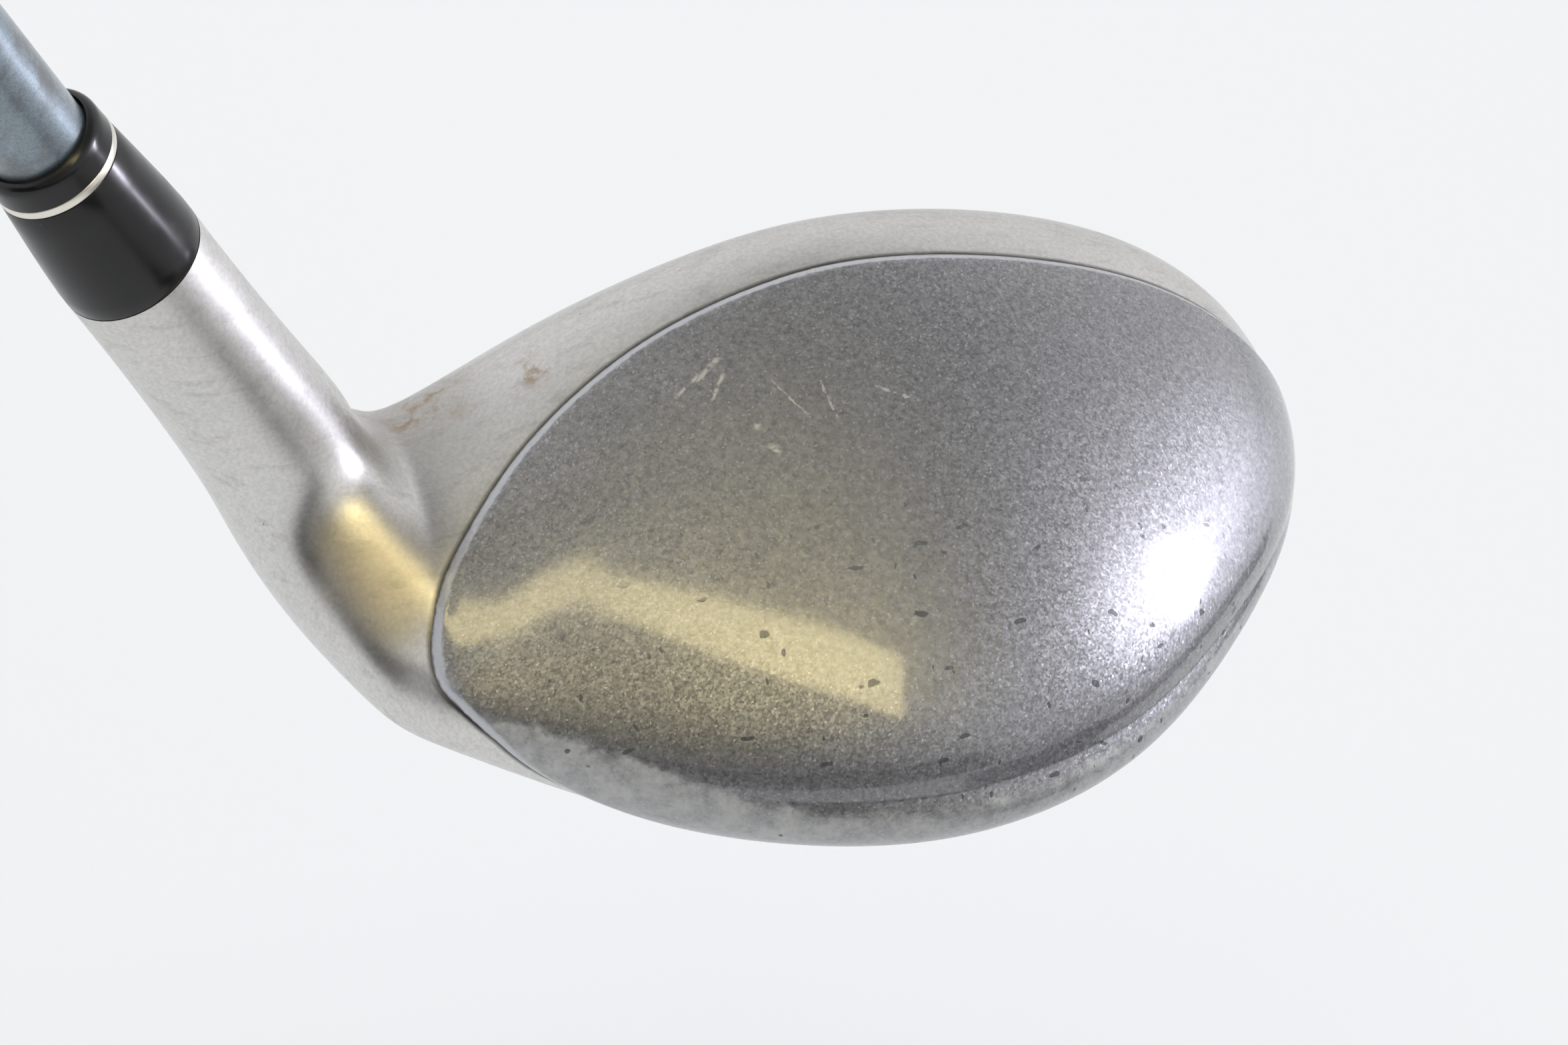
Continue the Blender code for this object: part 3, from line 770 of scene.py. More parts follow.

# %% [markdown]
# ### Metallic paint under clear lacquer
#
# The shell is sprayed with grey paint full of aluminium flakes and then lacquered.
# Each flake lies a little tilted, so each catches a different light: here every
# small cell gets its own tilt and its own grey.  Real flakes are about 0.05 mm
# across; they are drawn at about 0.2 mm, so that they still show from half a metre.
# The lacquer above them stays smooth and gives the crisp reflections.
#
# Along the turn of the rear edge the lacquer is rubbed and chipped, and the skirt
# below it is made a lighter grey: rubbed patches, and a painted reflection of the
# white floor.  Small dark nicks are scattered over the lower crown.  One flake in
# twenty is a painted glint, and the rounded edge of the shell has a painted highlight
# with painted shade at its foot.

# %% Flake paint
paint, tree = new_finish("grey metallic flake paint")
coords = add(tree, "TexCoord").outputs["Object"]
place = add(tree, "SeparateXYZ", {0: coords})
flakes = add(tree, "TexVoronoi", {"Vector": coords, "Scale": per(0.21)})
clumps = add(tree, "TexNoise", {"Vector": coords, "Scale": per(0.6), "Detail": 3.0, "Roughness": 0.6})
haze = add(tree, "TexNoise", {"Vector": coords, "Scale": per(14), "Detail": 4.0})
shade = add(tree, "SeparateColor", {0: flakes.outputs["Color"]})
clumps = add(tree, "MapRange", {"Value": clumps, "From Min": 0.32, "From Max": 0.68})
mixed = add(tree, "Mix", {0: 0.5, 2: shade, 3: clumps})
tint = add(tree, "Mix", {0: mixed, 6: linear("#646569"), 7: linear("#9a9a9d")}, data_type="RGBA")
# painted glints: one flake in twenty is made near white
painted_glint = add(tree, "MapRange", {
    "Value": shade.outputs[1], "From Min": 0.93, "From Max": 0.97, "To Max": 0.22,
})
tint = add(tree, "Mix", {0: painted_glint, 6: tint, 7: linear("#e4e5ea")}, data_type="RGBA")
cloudy = add(tree, "MapRange", {
    "Value": haze, "From Min": 0.3, "From Max": 0.7, "To Min": 0.93, "To Max": 1.06,
})
tint = add(tree, "VectorMath", {0: tint, "Scale": cloudy}, operation="SCALE")
# the skirt below the turn of the rear edge, with a ragged border: rubbed patches, and a lighter grey there
# that is a painted reflection of the white floor
ragged = add(tree, "TexNoise", {"Vector": coords, "Scale": per(2.6), "Detail": 6.0, "Roughness": 0.7})
border = add(tree, "Math", {0: ragged, 1: 2.2 * MM, 2: 14.3 * MM}, operation="MULTIPLY_ADD")
heelward = add(tree, "MapRange", {
    "Value": place.outputs["X"], "From Min": -4 * MM, "From Max": -26 * MM, "To Max": 2.8 * MM,
}, interpolation_type="SMOOTHSTEP")
border = add(tree, "Math", {0: border, 1: heelward}, operation="ADD")
below = add(tree, "Math", {0: border, 1: place.outputs["Z"]}, operation="SUBTRACT")
worn = add(tree, "MapRange", {
    "Value": below, "From Min": -0.4 * MM, "From Max": 0.6 * MM,
}, interpolation_type="SMOOTHSTEP")
patchy = add(tree, "MapRange", {
    "Value": ragged, "From Min": 0.4, "From Max": 0.62, "To Min": 0.35, "To Max": 0.95,
})
worn = add(tree, "Math", {0: worn, 1: patchy}, operation="MULTIPLY")
# painted reflection, in rubbed patches: the skirt is made a lighter grey
tint = add(tree, "Mix", {0: worn, 6: tint, 7: linear("#b9baba")}, data_type="RGBA")
# dark nicks, mostly on the lower crown
rearward = add(tree, "MapRange", {
    "Value": place.outputs["Y"], "From Min": -22 * MM, "From Max": -34 * MM, "To Min": 0.12,
})
nicks = add(tree, "Math", {
    0: specks(tree, coords, 1.6, 4.6, 0.5, (1, 2.6, 2.0), 0.9),
    1: specks(tree, coords, 0.8, 3.0, 0.5, (2.0, 1, 1), 2.6),
}, operation="MAXIMUM")
nicks = add(tree, "Math", {0: nicks, 1: rearward}, operation="MULTIPLY")
nicks = add(tree, "Math", {0: nicks, 1: 0.75}, operation="MULTIPLY")
tint = add(tree, "Mix", {0: nicks, 6: tint, 7: linear("#2f3135")}, data_type="RGBA")


# fine white scratches on the upper crown, as (x, y) ends in mm
def scratch(tree, coords, start, end, width):
    """1 along a thin broken line, seen from above."""
    length = math.dist(start, end)
    angle = math.atan2(end[1] - start[1], end[0] - start[0])
    laid = add(tree, "Mapping", {
        "Vector": coords, "Location": (start[0] * MM, start[1] * MM, 0), "Rotation": (0, 0, angle),
    }, vector_type="TEXTURE")
    wobble = add(tree, "TexNoise", {"Vector": laid, "Scale": per(1.1), "Detail": 3.0})
    part = add(tree, "SeparateXYZ", {0: laid})
    off = add(tree, "Math", {0: wobble, 1: 0.9 * MM, 2: -0.45 * MM}, operation="MULTIPLY_ADD")
    off = add(tree, "Math", {0: part.outputs["Y"], 1: off}, operation="ADD")
    off = add(tree, "Math", {0: off}, operation="ABSOLUTE")
    line = add(tree, "MapRange", {"Value": off, "From Min": width * MM, "From Max": 0.3 * width * MM})
    past = add(tree, "Math", {0: part.outputs["X"], 1: -length / 2 * MM}, operation="ADD")
    past = add(tree, "Math", {0: past}, operation="ABSOLUTE")
    within = add(tree, "MapRange", {
        "Value": past, "From Min": length / 2 * MM, "From Max": (length / 2 - 0.5) * MM,
    })
    broken = add(tree, "MapRange", {"Value": wobble, "From Min": 0.42, "From Max": 0.52})
    line = add(tree, "Math", {0: line, 1: within}, operation="MULTIPLY")
    return add(tree, "Math", {0: line, 1: broken}, operation="MULTIPLY")


scratches = None
for start, end, width in (
    (
        (-10.4, -10.5), (-7.4, -9.0), 0.24,
    ), ((-8.2, -9.8), (-5.2, -8.0), 0.3), ((-7.4, -12.3), (-5.4, -9.8), 0.22),
    (
        (2.4, -12.9), (2.9, -18.3), 0.13,
    ), ((6.3, -15.4), (10.3, -17.7), 0.18), ((-1.8, -12.2), (0.6, -17.4), 0.1),
    ((-4.8, -16.0), (-3.8, -16.6), 0.4), ((-3.9, -18.2), (-3.0, -19.7), 0.3),
):
    found = scratch(tree, coords, start, end, width)
    scratches = found if scratches is None else add(tree, "Math", {
        0: scratches, 1: found,
    }, operation="MAXIMUM")
white = add(tree, "Math", {0: scratches, 1: 0.55}, operation="MULTIPLY")
tint = add(tree, "Mix", {0: white, 6: tint, 7: linear("#e4e2de")}, data_type="RGBA")

# the rounded edge of the shell: a painted highlight along its rim and painted shade at its foot
edge = add(tree, "Attribute", attribute_name="shell")
rim_wobble = add(tree, "TexNoise", {"Vector": coords, "Scale": per(0.9), "Detail": 4.0})
rim_at = add(tree, "Math", {0: rim_wobble, 1: 0.5, 2: -0.25}, operation="MULTIPLY_ADD")
rim_at = add(tree, "Math", {0: edge.outputs["Fac"], 1: rim_at}, operation="ADD")
# painted highlight: the rim of the rounded edge is made near white
painted_rim_highlight = add(tree, "MapRange", {"Value": rim_at, "From Min": 1.2, "From Max": 0.95, "To Max": 0.75})
tint = add(tree, "Mix", {0: painted_rim_highlight, 6: tint, 7: linear("#c2c5cd")}, data_type="RGBA")
# painted shade: the foot of the rounded edge is made dark
painted_foot_shade = add(tree, "MapRange", {"Value": rim_at, "From Min": 0.28, "From Max": 0.05, "To Max": 0.85})
tint = add(tree, "Mix", {0: painted_foot_shade, 6: tint, 7: linear("#3a3a3c")}, data_type="RGBA")

# each flake tilts the light its own way, and the worn places lose the effect
tilt = add(tree, "VectorMath", {0: flakes.outputs["Color"], 1: (0.5, 0.5, 0.5)}, operation="SUBTRACT")
tilt = add(tree, "VectorMath", {0: tilt, "Scale": 0.15}, operation="SCALE")
upright = add(tree, "NewGeometry")
tilt = add(tree, "VectorMath", {0: upright.outputs["Normal"], 1: tilt}, operation="ADD")
tilt = add(tree, "VectorMath", {0: tilt}, operation="NORMALIZE")
dent = add(tree, "Math", {0: nicks, 1: worn}, operation="ADD")
dents = add(tree, "MapRange", {"Value": dent, "To Min": 1.0, "To Max": 0.0})
bump = add(tree, "Bump", {"Height": dents, "Normal": tilt, "Strength": 0.5, "Distance": 0.06 * MM})
# the lacquer's orange peel
peel = add(tree, "TexNoise", {"Vector": coords, "Scale": per(0.8), "Detail": 2.0})
skin = add(tree, "Math", {0: peel, 1: 0.12, 2: dents}, operation="MULTIPLY_ADD")
lacquer = add(tree, "Bump", {"Height": skin, "Strength": 0.25, "Distance": 0.03 * MM})
rough = add(tree, "Mix", {0: worn, 2: 0.43, 3: 0.6})
metal = add(tree, "MapRange", {"Value": dent, "To Min": 0.75, "To Max": 0.3})
coat = add(tree, "MapRange", {"Value": dent, "To Min": 1.0, "To Max": 0.25})
paint_shader = add(tree, "BsdfPrincipled", {
    "Base Color": tint, "Metallic": metal, "Roughness": rough, "Normal": bump,
    "Coat Weight": coat, "Coat Roughness": 0.09, "Coat IOR": 1.6, "Coat Normal": lacquer,
})
add(tree, "OutputMaterial", {"Surface": paint_shader})
print(paint.name, "has", len(tree.nodes), "nodes")

# %% [markdown]
# ### The face and the sole
#
# The face is blasted with grit between the score lines, which gives a duller, grey
# and evenly pitted steel.  The lines themselves are shallow rolled grooves.  The
# sole plate is ground along its length, and turf and mats have drawn long scratches
# over it.

# %% Blasted face
face_steel, tree = new_finish("grit blasted steel face")
coords = add(tree, "TexCoord").outputs["Object"]
place = add(tree, "SeparateXYZ", {0: coords})
pits = add(tree, "TexNoise", {"Vector": coords, "Scale": per(0.22), "Detail": 3.0, "Roughness": 0.8})
cloud = add(tree, "TexNoise", {"Vector": coords, "Scale": per(8), "Detail": 5.0})
first, pitch, lines_made, half_length, centre_x = MID_Z - 9.0, 4.2, 6, 20.0, 7.0
phase = add(tree, "Math", {0: place.outputs["Z"], 1: -(first - pitch / 2) * MM}, operation="ADD")
phase = add(tree, "Math", {0: phase, 1: pitch * MM}, operation="FLOORED_MODULO")
phase = add(tree, "Math", {0: phase, 1: -pitch / 2 * MM}, operation="ADD")
phase = add(tree, "Math", {0: phase}, operation="ABSOLUTE")
line = add(tree, "MapRange", {
    "Value": phase, "From Min": 0.45 * MM, "From Max": 0.22 * MM,
}, interpolation_type="SMOOTHSTEP")
side = add(tree, "Math", {0: place.outputs["X"], 1: -centre_x * MM}, operation="ADD")
side = add(tree, "Math", {0: side}, operation="ABSOLUTE")
ends = add(tree, "MapRange", {
    "Value": side, "From Min": half_length * MM, "From Max": (half_length - 0.5) * MM,
})
middle = add(tree, "Math", {
    0: place.outputs["Z"], 1: -(first + pitch * (lines_made - 1) / 2) * MM,
}, operation="ADD")
middle = add(tree, "Math", {0: middle}, operation="ABSOLUTE")
height = add(tree, "MapRange", {
    "Value": middle, "From Min": (lines_made * pitch / 2) * MM,
    "From Max": (lines_made * pitch / 2 - 0.5) * MM,
})
line = add(tree, "Math", {0: line, 1: ends}, operation="MULTIPLY")
line = add(tree, "Math", {0: line, 1: height}, operation="MULTIPLY")
tint = add(tree, "Mix", {0: cloud, 6: linear("#9a9b9a"), 7: linear("#b2b2ae")}, data_type="RGBA")
tint = add(tree, "Mix", {0: line, 6: tint, 7: linear("#5b5a58")}, data_type="RGBA")
ball = specks(tree, coords, 2.2, 14, 0.35)  # faint marks left by balls
tint = add(tree, "Mix", {0: ball, 6: tint, 7: linear("#c4c4c2")}, data_type="RGBA")
relief = add(tree, "Math", {0: line, 1: -18.0, 2: pits}, operation="MULTIPLY_ADD")
bump = add(tree, "Bump", {"Height": relief, "Strength": 0.8, "Distance": 0.02 * MM})
face_shader = add(tree, "BsdfPrincipled", {
    "Base Color": tint, "Metallic": 1.0, "Roughness": 0.5, "Normal": bump,
})
add(tree, "OutputMaterial", {"Surface": face_shader})
print(lines_made, "score lines,", pitch, "mm apart")

# %% Ground sole
sole_steel, tree = new_finish("ground and scratched steel sole")
coords = add(tree, "TexCoord").outputs["Object"]
drawn = add(tree, "Mapping", {"Vector": coords, "Rotation": (0, 0, 0.1), "Scale": (12.0, 0.8, 12.0)})
scores = add(tree, "TexNoise", {"Vector": drawn, "Scale": per(4), "Detail": 6.0, "Roughness": 0.8})
cloud = add(tree, "TexNoise", {"Vector": coords, "Scale": per(7), "Detail": 4.0})
tint = add(tree, "Mix", {0: cloud, 6: linear("#a9a9a6"), 7: linear("#c6c6c2")}, data_type="RGBA")
worn = specks(tree, coords, 1.2, 6.5, 0.5, (2.4, 0.5, 1))
tint = add(tree, "Mix", {0: worn, 6: tint, 7: linear("#6a6660")}, data_type="RGBA")
bump = add(tree, "Bump", {"Height": scores, "Strength": 0.5, "Distance": 0.03 * MM})
rough = add(tree, "MapRange", {"Value": scores, "To Min": 0.26, "To Max": 0.46})
sole_shader = add(tree, "BsdfPrincipled", {
    "Base Color": tint, "Metallic": 1.0, "Roughness": rough, "Normal": bump,
})
add(tree, "OutputMaterial", {"Surface": sole_shader})
print(sole_steel.name, "is scored from front to back")

# %% [markdown]
# ### Ferrule, ring and shaft
#
# A ferrule is turned from black cellulose acetate and finished with a wipe of
# acetone, so it is as glossy as a wet stone, with faint dull patches where it has
# rubbed in the bag.  The ring is bright nickel, a little yellowed.  The shaft is
# painted graphite: a blue-grey pearl coat under satin lacquer, with grey smudges.

# %% Ferrule acetate, bright ring and shaft paint
acetate, tree = new_finish("black cellulose acetate")
coords = add(tree, "TexCoord").outputs["Object"]
smear = add(tree, "TexNoise", {"Vector": coords, "Scale": per(3.5), "Detail": 5.0, "Roughness": 0.65})
dust = specks(tree, coords, 0.2, 1.7, 0.16)
rough = add(tree, "MapRange", {
    "Value": smear, "From Min": 0.35, "From Max": 0.7, "To Min": 0.18, "To Max": 0.28,
})
tint = add(tree, "Mix", {0: smear, 6: linear("#101012"), 7: linear("#1b1b1d")}, data_type="RGBA")
tint = add(tree, "Mix", {0: dust, 6: tint, 7: linear("#4c4c50")}, data_type="RGBA")
wave = add(tree, "Bump", {"Height": smear, "Strength": 0.15, "Distance": 0.05 * MM})
acetate_shader = add(tree, "BsdfPrincipled", {
    "Base Color": tint, "Roughness": rough, "IOR": 1.49, "Specular IOR Level": 0.4, "Normal": wave,
})
add(tree, "OutputMaterial", {"Surface": acetate_shader})

nickel, tree = new_finish("yellowed bright nickel")
coords = add(tree, "TexCoord").outputs["Object"]
dull = add(tree, "TexNoise", {"Vector": coords, "Scale": per(1.6), "Detail": 4.0})
tint = add(tree, "Mix", {0: dull, 6: linear("#d9d5c8"), 7: linear("#f1eee4")}, data_type="RGBA")
rough = add(tree, "MapRange", {"Value": dull, "To Min": 0.2, "To Max": 0.42})
nickel_shader = add(tree, "BsdfPrincipled", {"Base Color": tint, "Metallic": 1.0, "Roughness": rough})
add(tree, "OutputMaterial", {"Surface": nickel_shader})

shaft_paint, tree = new_finish("blue-grey pearl paint on graphite")
coords = add(tree, "TexCoord").outputs["Object"]
cloud = add(tree, "TexNoise", {"Vector": coords, "Scale": per(5), "Detail": 6.0, "Roughness": 0.65})
pearl = add(tree, "TexVoronoi", {"Vector": coords, "Scale": per(0.16)})
shade = add(tree, "SeparateColor", {0: pearl.outputs["Color"]})
smudge = add(tree, "MapRange", {
    "Value": cloud, "From Min": 0.45, "From Max": 0.68,
}, interpolation_type="SMOOTHSTEP")
tint = add(tree, "Mix", {0: shade, 6: linear("#75828b"), 7: linear("#8b98a1")}, data_type="RGBA")
tint = add(tree, "Mix", {0: smudge, 6: tint, 7: linear("#666b6e")}, data_type="RGBA")
dark = specks(tree, coords, 0.45, 3.6, 0.25, (1, 1.5, 1.5))
tint = add(tree, "Mix", {0: dark, 6: tint, 7: linear("#4e5356")}, data_type="RGBA")
rough = add(tree, "MapRange", {
    "Value": cloud, "From Min": 0.3, "From Max": 0.7, "To Min": 0.34, "To Max": 0.46,
})
shaft_shader = add(tree, "BsdfPrincipled", {
    "Base Color": tint, "Metallic": 0.7, "Roughness": rough,
    "Coat Weight": 0.8, "Coat Roughness": 0.2, "Coat IOR": 1.5,
})
add(tree, "OutputMaterial", {"Surface": shaft_shader})
print("finishes for the neck:", acetate.name, "/", nickel.name, "/", shaft_paint.name)

# %% [markdown]
# ### Rubber grip
#
# Grip rubber is soft, matt and moulded with a fine pattern, so that it holds when
# wet.  The pattern has to run round and along the grip, which Object coordinates
# can't do on a slanted, tapered piece.  The grip therefore gets its own UV map in
# millimetres: along the shaft, and round it.

# %% A map along and round the grip
for piece in (grip, grip_cap):
    unrolled = piece.data.uv_layers.new(name="along_and_round")
    spots = [v.co / MM - FOOT for v in piece.data.vertices]
    for face in piece.data.polygons:
        turns = []
        for corner, index in zip(face.loop_indices, face.vertices):
            spot = spots[index]
            along = spot.dot(AXIS)
            turn = math.atan2(spot.y, spot.dot(ACROSS)) / (2 * math.pi)
            if turns and turn - turns[0] > 0.5:
                turn -= 1
            elif turns and turns[0] - turn > 0.5:
                turn += 1
            turns.append(turn)
            unrolled.data[corner].uv = (along / 100, turn)
print("one unit of the map is 100 mm along and one turn round")

# %% Moulded rubber
rubber, tree = new_finish("moulded black rubber")
laid = add(tree, "UVMap", uv_map="along_and_round")
coords = add(tree, "TexCoord").outputs["Object"]
HALF_DIAMOND, DIAMONDS_ROUND = 2.6, 32.0  # mm along the grip, and how many fit round it
weaves = []
for lean in (1, -1):
    part = add(tree, "SeparateXYZ", {0: laid})
    round_it = add(tree, "Math", {0: part.outputs["Y"], 1: DIAMONDS_ROUND * lean}, operation="MULTIPLY")
    along_it = add(tree, "Math", {
        0: part.outputs["X"], 1: 100 / HALF_DIAMOND, 2: round_it,
    }, operation="MULTIPLY_ADD")
    wave = add(tree, "Math", {0: along_it, 1: 1.0}, operation="PINGPONG")
    weaves.append(add(tree, "MapRange", {
        "Value": wave, "From Min": 0.12, "From Max": 0.38,
    }, interpolation_type="SMOOTHSTEP"))
diamonds = add(tree, "Math", {0: weaves[0], 1: weaves[1]}, operation="MULTIPLY")
stipple = add(tree, "TexNoise", {"Vector": coords, "Scale": per(0.4), "Detail": 2.0})
scuffed = add(tree, "TexNoise", {"Vector": coords, "Scale": per(12), "Detail": 5.0})
tint = add(tree, "Mix", {0: scuffed, 6: linear("#161617"), 7: linear("#2c2c2d")}, data_type="RGBA")
relief = add(tree, "Math", {0: stipple, 1: 0.18, 2: diamonds}, operation="MULTIPLY_ADD")
bump = add(tree, "Bump", {"Height": relief, "Strength": 0.9, "Distance": 0.25 * MM})
rough = add(tree, "MapRange", {"Value": diamonds, "To Min": 0.85, "To Max": 0.62})
rubber_shader = add(tree, "BsdfPrincipled", {
    "Base Color": tint, "Roughness": rough, "IOR": 1.52, "Normal": bump,
})
add(tree, "OutputMaterial", {"Surface": rubber_shader})
print("diamonds", 2 * HALF_DIAMOND, "mm long")

# %% [markdown]
# ### What sits inside
#
# A pad of hot melt glue in the toe catches loose bits, a brass plug in the shaft tip
# sets the swing weight, and tape holds the grip.  None of them shows, but anyone who
# takes the club apart will find them, so their solids get honest finishes too.

# %% Finishes inside
def plain_finish(name, low, high, size, roughness, metallic=0.0):
    """A finish of two close colours in soft clouds, with a relief of the same grain."""
    finish, tree = new_finish(name)
    coords = add(tree, "TexCoord").outputs["Object"]
    cloud = add(tree, "TexNoise", {"Vector": coords, "Scale": per(size), "Detail": 5.0})
    tint = add(tree, "Mix", {0: cloud, 6: linear(low), 7: linear(high)}, data_type="RGBA")
    bump = add(tree, "Bump", {"Height": cloud, "Strength": 0.4, "Distance": 0.05 * MM})
    shader = add(tree, "BsdfPrincipled", {
        "Base Color": tint, "Roughness": roughness, "Metallic": metallic, "Normal": bump,
    })
    add(tree, "OutputMaterial", {"Surface": shader})
    return finish


inner = {
    "hot_melt_pad": plain_finish("amber hot melt glue", "#b9924f", "#d8b878", 2.5, 0.35),
    "tip_weight": plain_finish("turned brass", "#b3934a", "#c9aa62", 0.6, 0.3, 1.0),
    "grip_tape": plain_finish("cream masking tape", "#cdbb91", "#ddcfae", 0.8, 0.75),
}
for name, finish in inner.items():
    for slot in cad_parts[name].material_slots:
        slot.material = finish
epoxy = plain_finish("dark epoxy bead", "#2e3032", "#45484a", 0.9, 0.3)
print("inside:", ", ".join(f"{node} in {finish.name}" for node, finish in inner.items()))

# %% [markdown]
# ## Every piece onto its solid
#
# Each new piece takes a finish, rides on the club's one body and stands for the
# solid that it replaces.

# %% Finish, ride and replace
pieces = {
    "head_casting": (casting, steel),
    "rear_shell": (rear_shell, paint),
    "face_plate": (face_plate, face_steel),
    "sole_plate": (sole_plate, sole_steel),
    "ferrule_sleeve": (sleeve, acetate),
    "ferrule_ring": (bright_ring, nickel),
    "ferrule_collar": (collar, acetate),
    "shaft": (shaft, shaft_paint),
    "grip": (grip, rubber),
    "grip_cap": (grip_cap, rubber),
}
for node, (piece, finish) in pieces.items():
    piece.data.materials.clear()
    piece.data.materials.append(finish)
    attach(piece, "root")
    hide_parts(node)
glue.data.materials.append(epoxy)
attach(glue, "root")
print(len(pieces) + 1, "pieces ride on the club")

# %% [markdown]
# ## The sweep, the lamps and the flags
#
# A shiny head shows its surroundings more than itself.  So the surroundings are
# built like a product table: a wide white floor some way under the club, a pale
# sweep all round, and a darker room above.  A tall lamp off the toe makes the white
# bloom on the crown, and a wide, weak one above it spreads a glow round the bloom.
# A long warm softbox overhead draws the yellow bar on the lacquer.  Black flags on
# the near side darken the turn of the rear edge and one side of the neck.  A flag is
# a common trick, because an edge that reflects only white melts into a white
# background.

# %% Floor and flags
FLOOR = -150.0
deselect()
bpy.ops.mesh.primitive_plane_add(size=24, location=(0, 0, FLOOR * MM))
floor = bpy.context.object
floor.name = "studio_floor"
only(floor)
bpy.ops.object.transform_apply(location=True)
matt, tree = new_finish("matt white studio floor")
shader = add(tree, "BsdfPrincipled", {
    "Base Color": linear("#f1f3f7"), "Roughness": 0.9, "Specular IOR Level": 0.1,
})
add(tree, "OutputMaterial", {"Surface": shader})
floor.data.materials.append(matt)

black, tree = new_finish("black felt flag")
shader = add(tree, "BsdfPrincipled", {
    "Base Color": linear("#18181a"), "Roughness": 1.0, "Specular IOR Level": 0.0,
})
add(tree, "OutputMaterial", {"Surface": shader})


def hide_from_camera(obj):
    obj.visible_camera = obj.visible_diffuse = obj.visible_shadow = False


def flag(name, radius, bottom, top, first, last):
    """A standing curved sheet of felt; in metres, and degrees round from the near side to the toe."""
    deselect()
    bpy.ops.mesh.primitive_cylinder_add(
        vertices=72, radius=radius, depth=top - bottom, end_fill_type="NOTHING",
        location=(0, -0.03, (top + bottom) / 2),
    )
    felt = bpy.context.object
    felt.name = name
    bpy.ops.object.mode_set(mode="EDIT")
    bpy.ops.mesh.select_all(action="DESELECT")
    bpy.ops.object.mode_set(mode="OBJECT")
    for face in felt.data.polygons:
        face.select = not first < math.degrees(math.atan2(face.center.x, -face.center.y)) < last
    bpy.ops.object.mode_set(mode="EDIT")
    bpy.ops.mesh.delete(type="FACE")
    bpy.ops.object.mode_set(mode="OBJECT")
    bpy.ops.object.transform_apply(location=True)
    felt.data.materials.append(black)
    hide_from_camera(felt)


flag("near_flag", 0.42, -0.045, 0.085, -88, 28)
flag("toe_flag", 0.2, -0.085, -0.02, 25, 62)
flag("edge_flag", 0.2, -0.06, -0.035, 60, 98)
flag("heel_flag", 0.42, 0.08, 0.17, -98, -60)
print("floor", -FLOOR, "mm under the sole")

# %% Lamps
def lamp(name, place, aim, size, size_y, strength, colour, shape):
    """An area lamp of an even brightness, whatever its size; places in metres."""
    data = bpy.data.lights.new(name, "AREA")
    data.shape, data.size, data.size_y, data.color = shape, size, size_y, linear(colour)[:3]
    area = size * size_y * (math.pi / 4 if shape == "ELLIPSE" else 1)
    data.energy = strength * area * math.pi
    made = bpy.data.objects.new(name, data)
    bpy.context.scene.collection.objects.link(made)
    facing = (Vector(aim) - Vector(place)).to_track_quat("-Z", "Y").to_matrix()
    made.matrix_world = Matrix.Translation(place) @ facing.to_4x4()
    made.visible_camera = False
    return made


spot = Vector((0.034, -0.034, 0.025))  # on the crown, near the toe
AWAY = 1.3
to_bloom, to_halo = Vector((0.976, -0.14, 0.165)), Vector((0.92, -0.24, 0.36))
bloom = lamp("tall_lamp", spot + to_bloom * AWAY, spot, 0.25, 0.95, 78, "#f1efff", "ELLIPSE")
halo = lamp("halo_lamp", spot + to_halo * AWAY, spot, 0.95, 1.6, 5, "#f1efff", "ELLIPSE")
fill = lamp("overhead_fill", (0, 0.2, 2.4), (0, 0, 0), 3.0, 3.0, 1.45, "#ffffff", "RECTANGLE")
fill.visible_glossy = False

# the lamps off the toe are frosted: brightest in the middle, dark at the rim
for frosted in (bloom, halo):
    frosted.visible_diffuse = False
    frosted.data.use_nodes = True
    tree = frosted.data.node_tree
    across = add(tree, "NewGeometry").outputs["Parametric"]
    away = add(tree, "VectorMath", {0: across, 1: (0.5, 0.5, 0.0)}, operation="DISTANCE")
    fade = add(tree, "MapRange", {
        "Value": away, "From Min": 0.5, "From Max": 0.0,
    }, interpolation_type="SMOOTHERSTEP")
    fade = add(tree, "Math", {0: fade, 1: 2.0}, operation="POWER")
    tree.links.new(fade.outputs[0], tree.nodes["Emission"].inputs["Strength"])

# The warm softbox is a flat sheet high above the club, wide at its toe end and narrow
# at its heel end.  Its corners are given per metre of height.
SOFTBOX_HEIGHT = 1.5
SOFTBOX = [
    (0.187, -0.555), (-0.445, 0.105), (-0.465, 0.18), (-0.50, 0.22), (-0.62, 0.28),
    (-0.62, 0.15), (-0.49, 0.09), (-0.475, 0.01), (0.231, -1.136),
]
deselect()
bpy.ops.mesh.primitive_circle_add(vertices=len(SOFTBOX), radius=0.5, fill_type="NGON")
softbox = bpy.context.object
softbox.name = "warm_softbox"
for vert, (x, y) in zip(softbox.data.vertices, SOFTBOX):
    vert.co = Vector((x, y, 1)) * SOFTBOX_HEIGHT
glowing, tree = new_finish("warm glowing diffuser")
glow = add(tree, "Emission", {"Color": linear("#fdecb0"), "Strength": 6.4})
add(tree, "OutputMaterial", {"Surface": glow})
softbox.data.materials.append(glowing)
hide_from_camera(softbox)
print("three lamps and a softbox")

# %% World: white below, a low pale sweep all round, a dim room above
world = bpy.data.worlds.new("studio room")
bpy.context.scene.world = world
world.use_nodes = True
tree = world.node_tree
tree.nodes.clear()
way = add(tree, "TexCoord").outputs["Generated"]
height = add(tree, "SeparateXYZ", {0: way})
room = add(tree, "MapRange", {
    "Value": height.outputs["Z"], "From Min": 0.5, "From Max": 0.97,
}, interpolation_type="SMOOTHSTEP")
light = add(tree, "Mix", {0: room, 6: linear("#f4f4f5"), 7: linear("#8c8e91")}, data_type="RGBA")
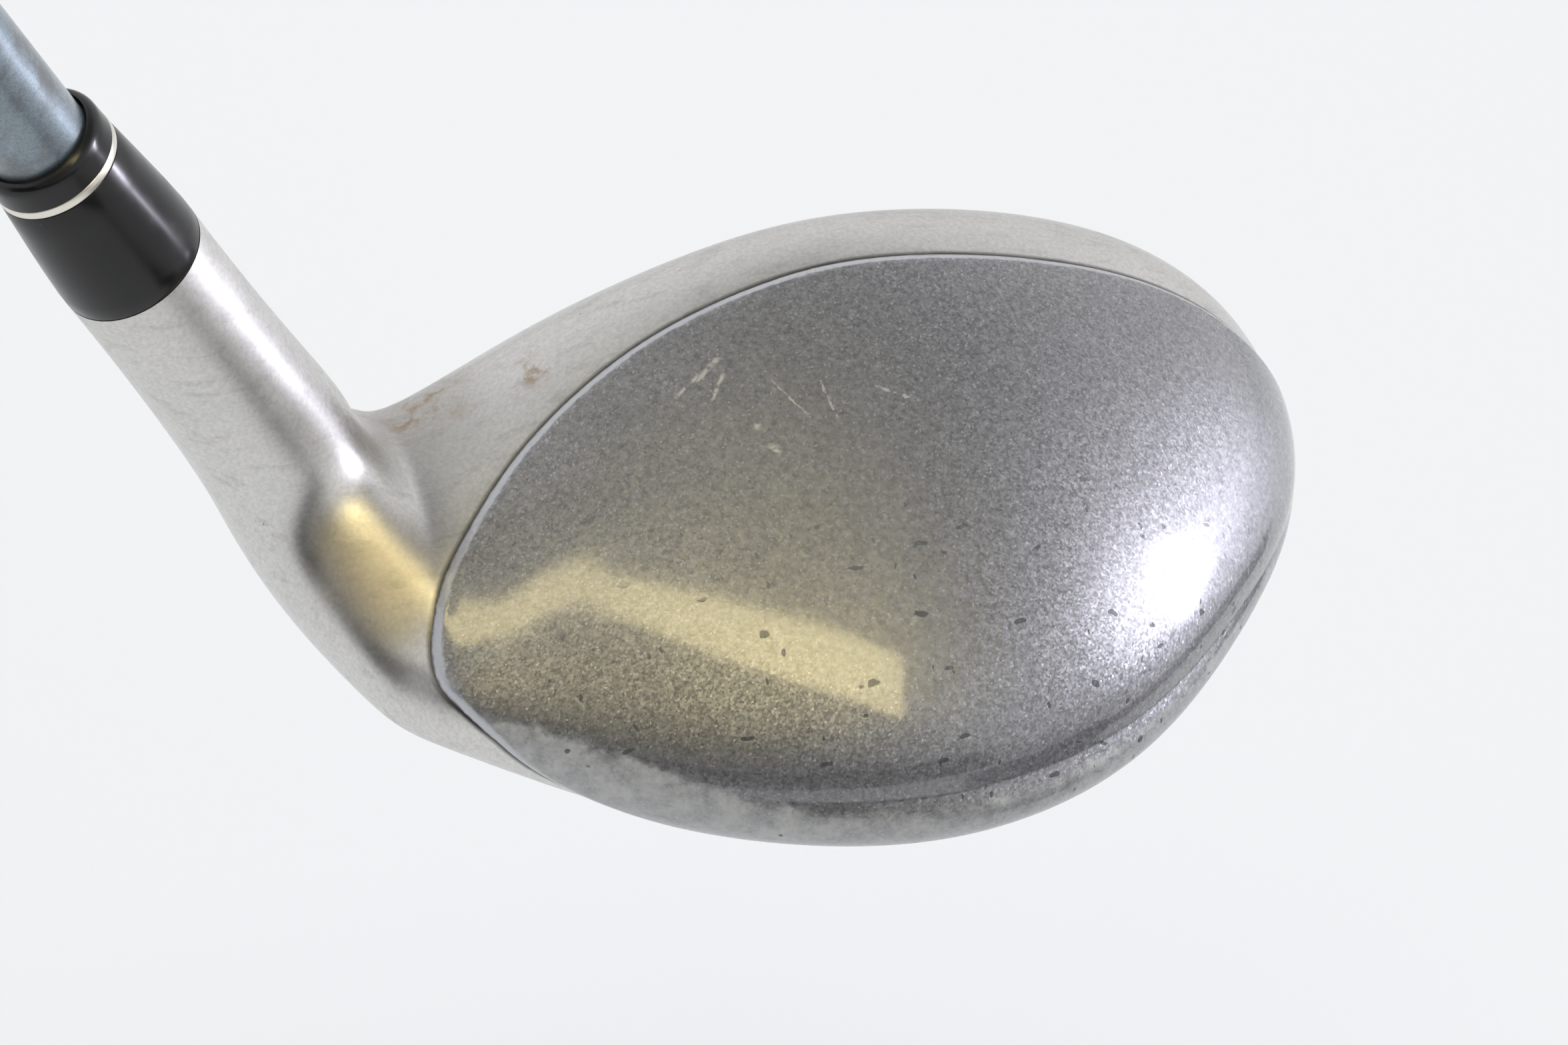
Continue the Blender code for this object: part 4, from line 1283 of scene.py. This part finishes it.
# a straw-coloured blind hangs behind the softbox on the near side
blind = add(tree, "VectorMath", {0: way, 1: (-0.46, -0.50, 0.73)}, operation="DOT_PRODUCT")
blind = add(tree, "MapRange", {
    "Value": blind, "From Min": 0.8, "From Max": 0.97, "To Max": 0.85,
}, interpolation_type="SMOOTHSTEP")
light = add(tree, "Mix", {0: blind, 6: light, 7: linear("#c9ba84")}, data_type="RGBA")
near = add(tree, "VectorMath", {0: way, 1: (-0.42, -0.90, 0.10)}, operation="DOT_PRODUCT")
shadow = add(tree, "MapRange", {
    "Value": near, "From Min": 0.55, "From Max": 0.95, "To Min": 1.0, "To Max": 0.35,
}, interpolation_type="SMOOTHSTEP")
light = add(tree, "VectorMath", {0: light, "Scale": shadow}, operation="SCALE")
seen = add(tree, "LightPath")
light = add(tree, "Mix", {
    0: seen.outputs["Is Camera Ray"], 6: light, 7: linear("#f3f4f5"),
}, data_type="RGBA")
glow = add(tree, "Background", {"Color": light, "Strength": 1.0})
add(tree, "OutputWorld", {"Surface": glow})
bpy.context.scene.view_settings.view_transform = "Standard"
print("the room is", world.name)

# %% [markdown]
# ## Camera
#
# A long lens from half a metre away, behind and above the heel, rolled a little:
# the view that a buyer gets when the club is held up by its shaft.

# %% Camera
azimuth, elevation, roll = math.radians(-27.22), math.radians(41.84), math.radians(9.79)
target, far = Vector((2.17, -12.33, 18.82)) * MM, 0.52345
back = Vector(
    (math.sin(azimuth) * math.cos(elevation), -math.cos(azimuth) * math.cos(elevation), math.sin(elevation)),
)
right = Vector((math.cos(azimuth), math.sin(azimuth), 0))
over = back.cross(right)
across = right * math.cos(roll) + over * math.sin(roll)
upward = over * math.cos(roll) - right * math.sin(roll)
lens = bpy.data.cameras.new("long_lens")
lens.lens, lens.sensor_width, lens.clip_start = 126.8, 36.0, 0.01
camera = bpy.data.objects.new("long_lens", lens)
bpy.context.scene.collection.objects.link(camera)
camera.matrix_world = Matrix.Translation(
    target + back * far,
) @ Matrix((across, upward, back)).transposed().to_4x4()
bpy.context.scene.camera = camera
print("lens", lens.lens, "mm,", round(far / MM), "mm away")
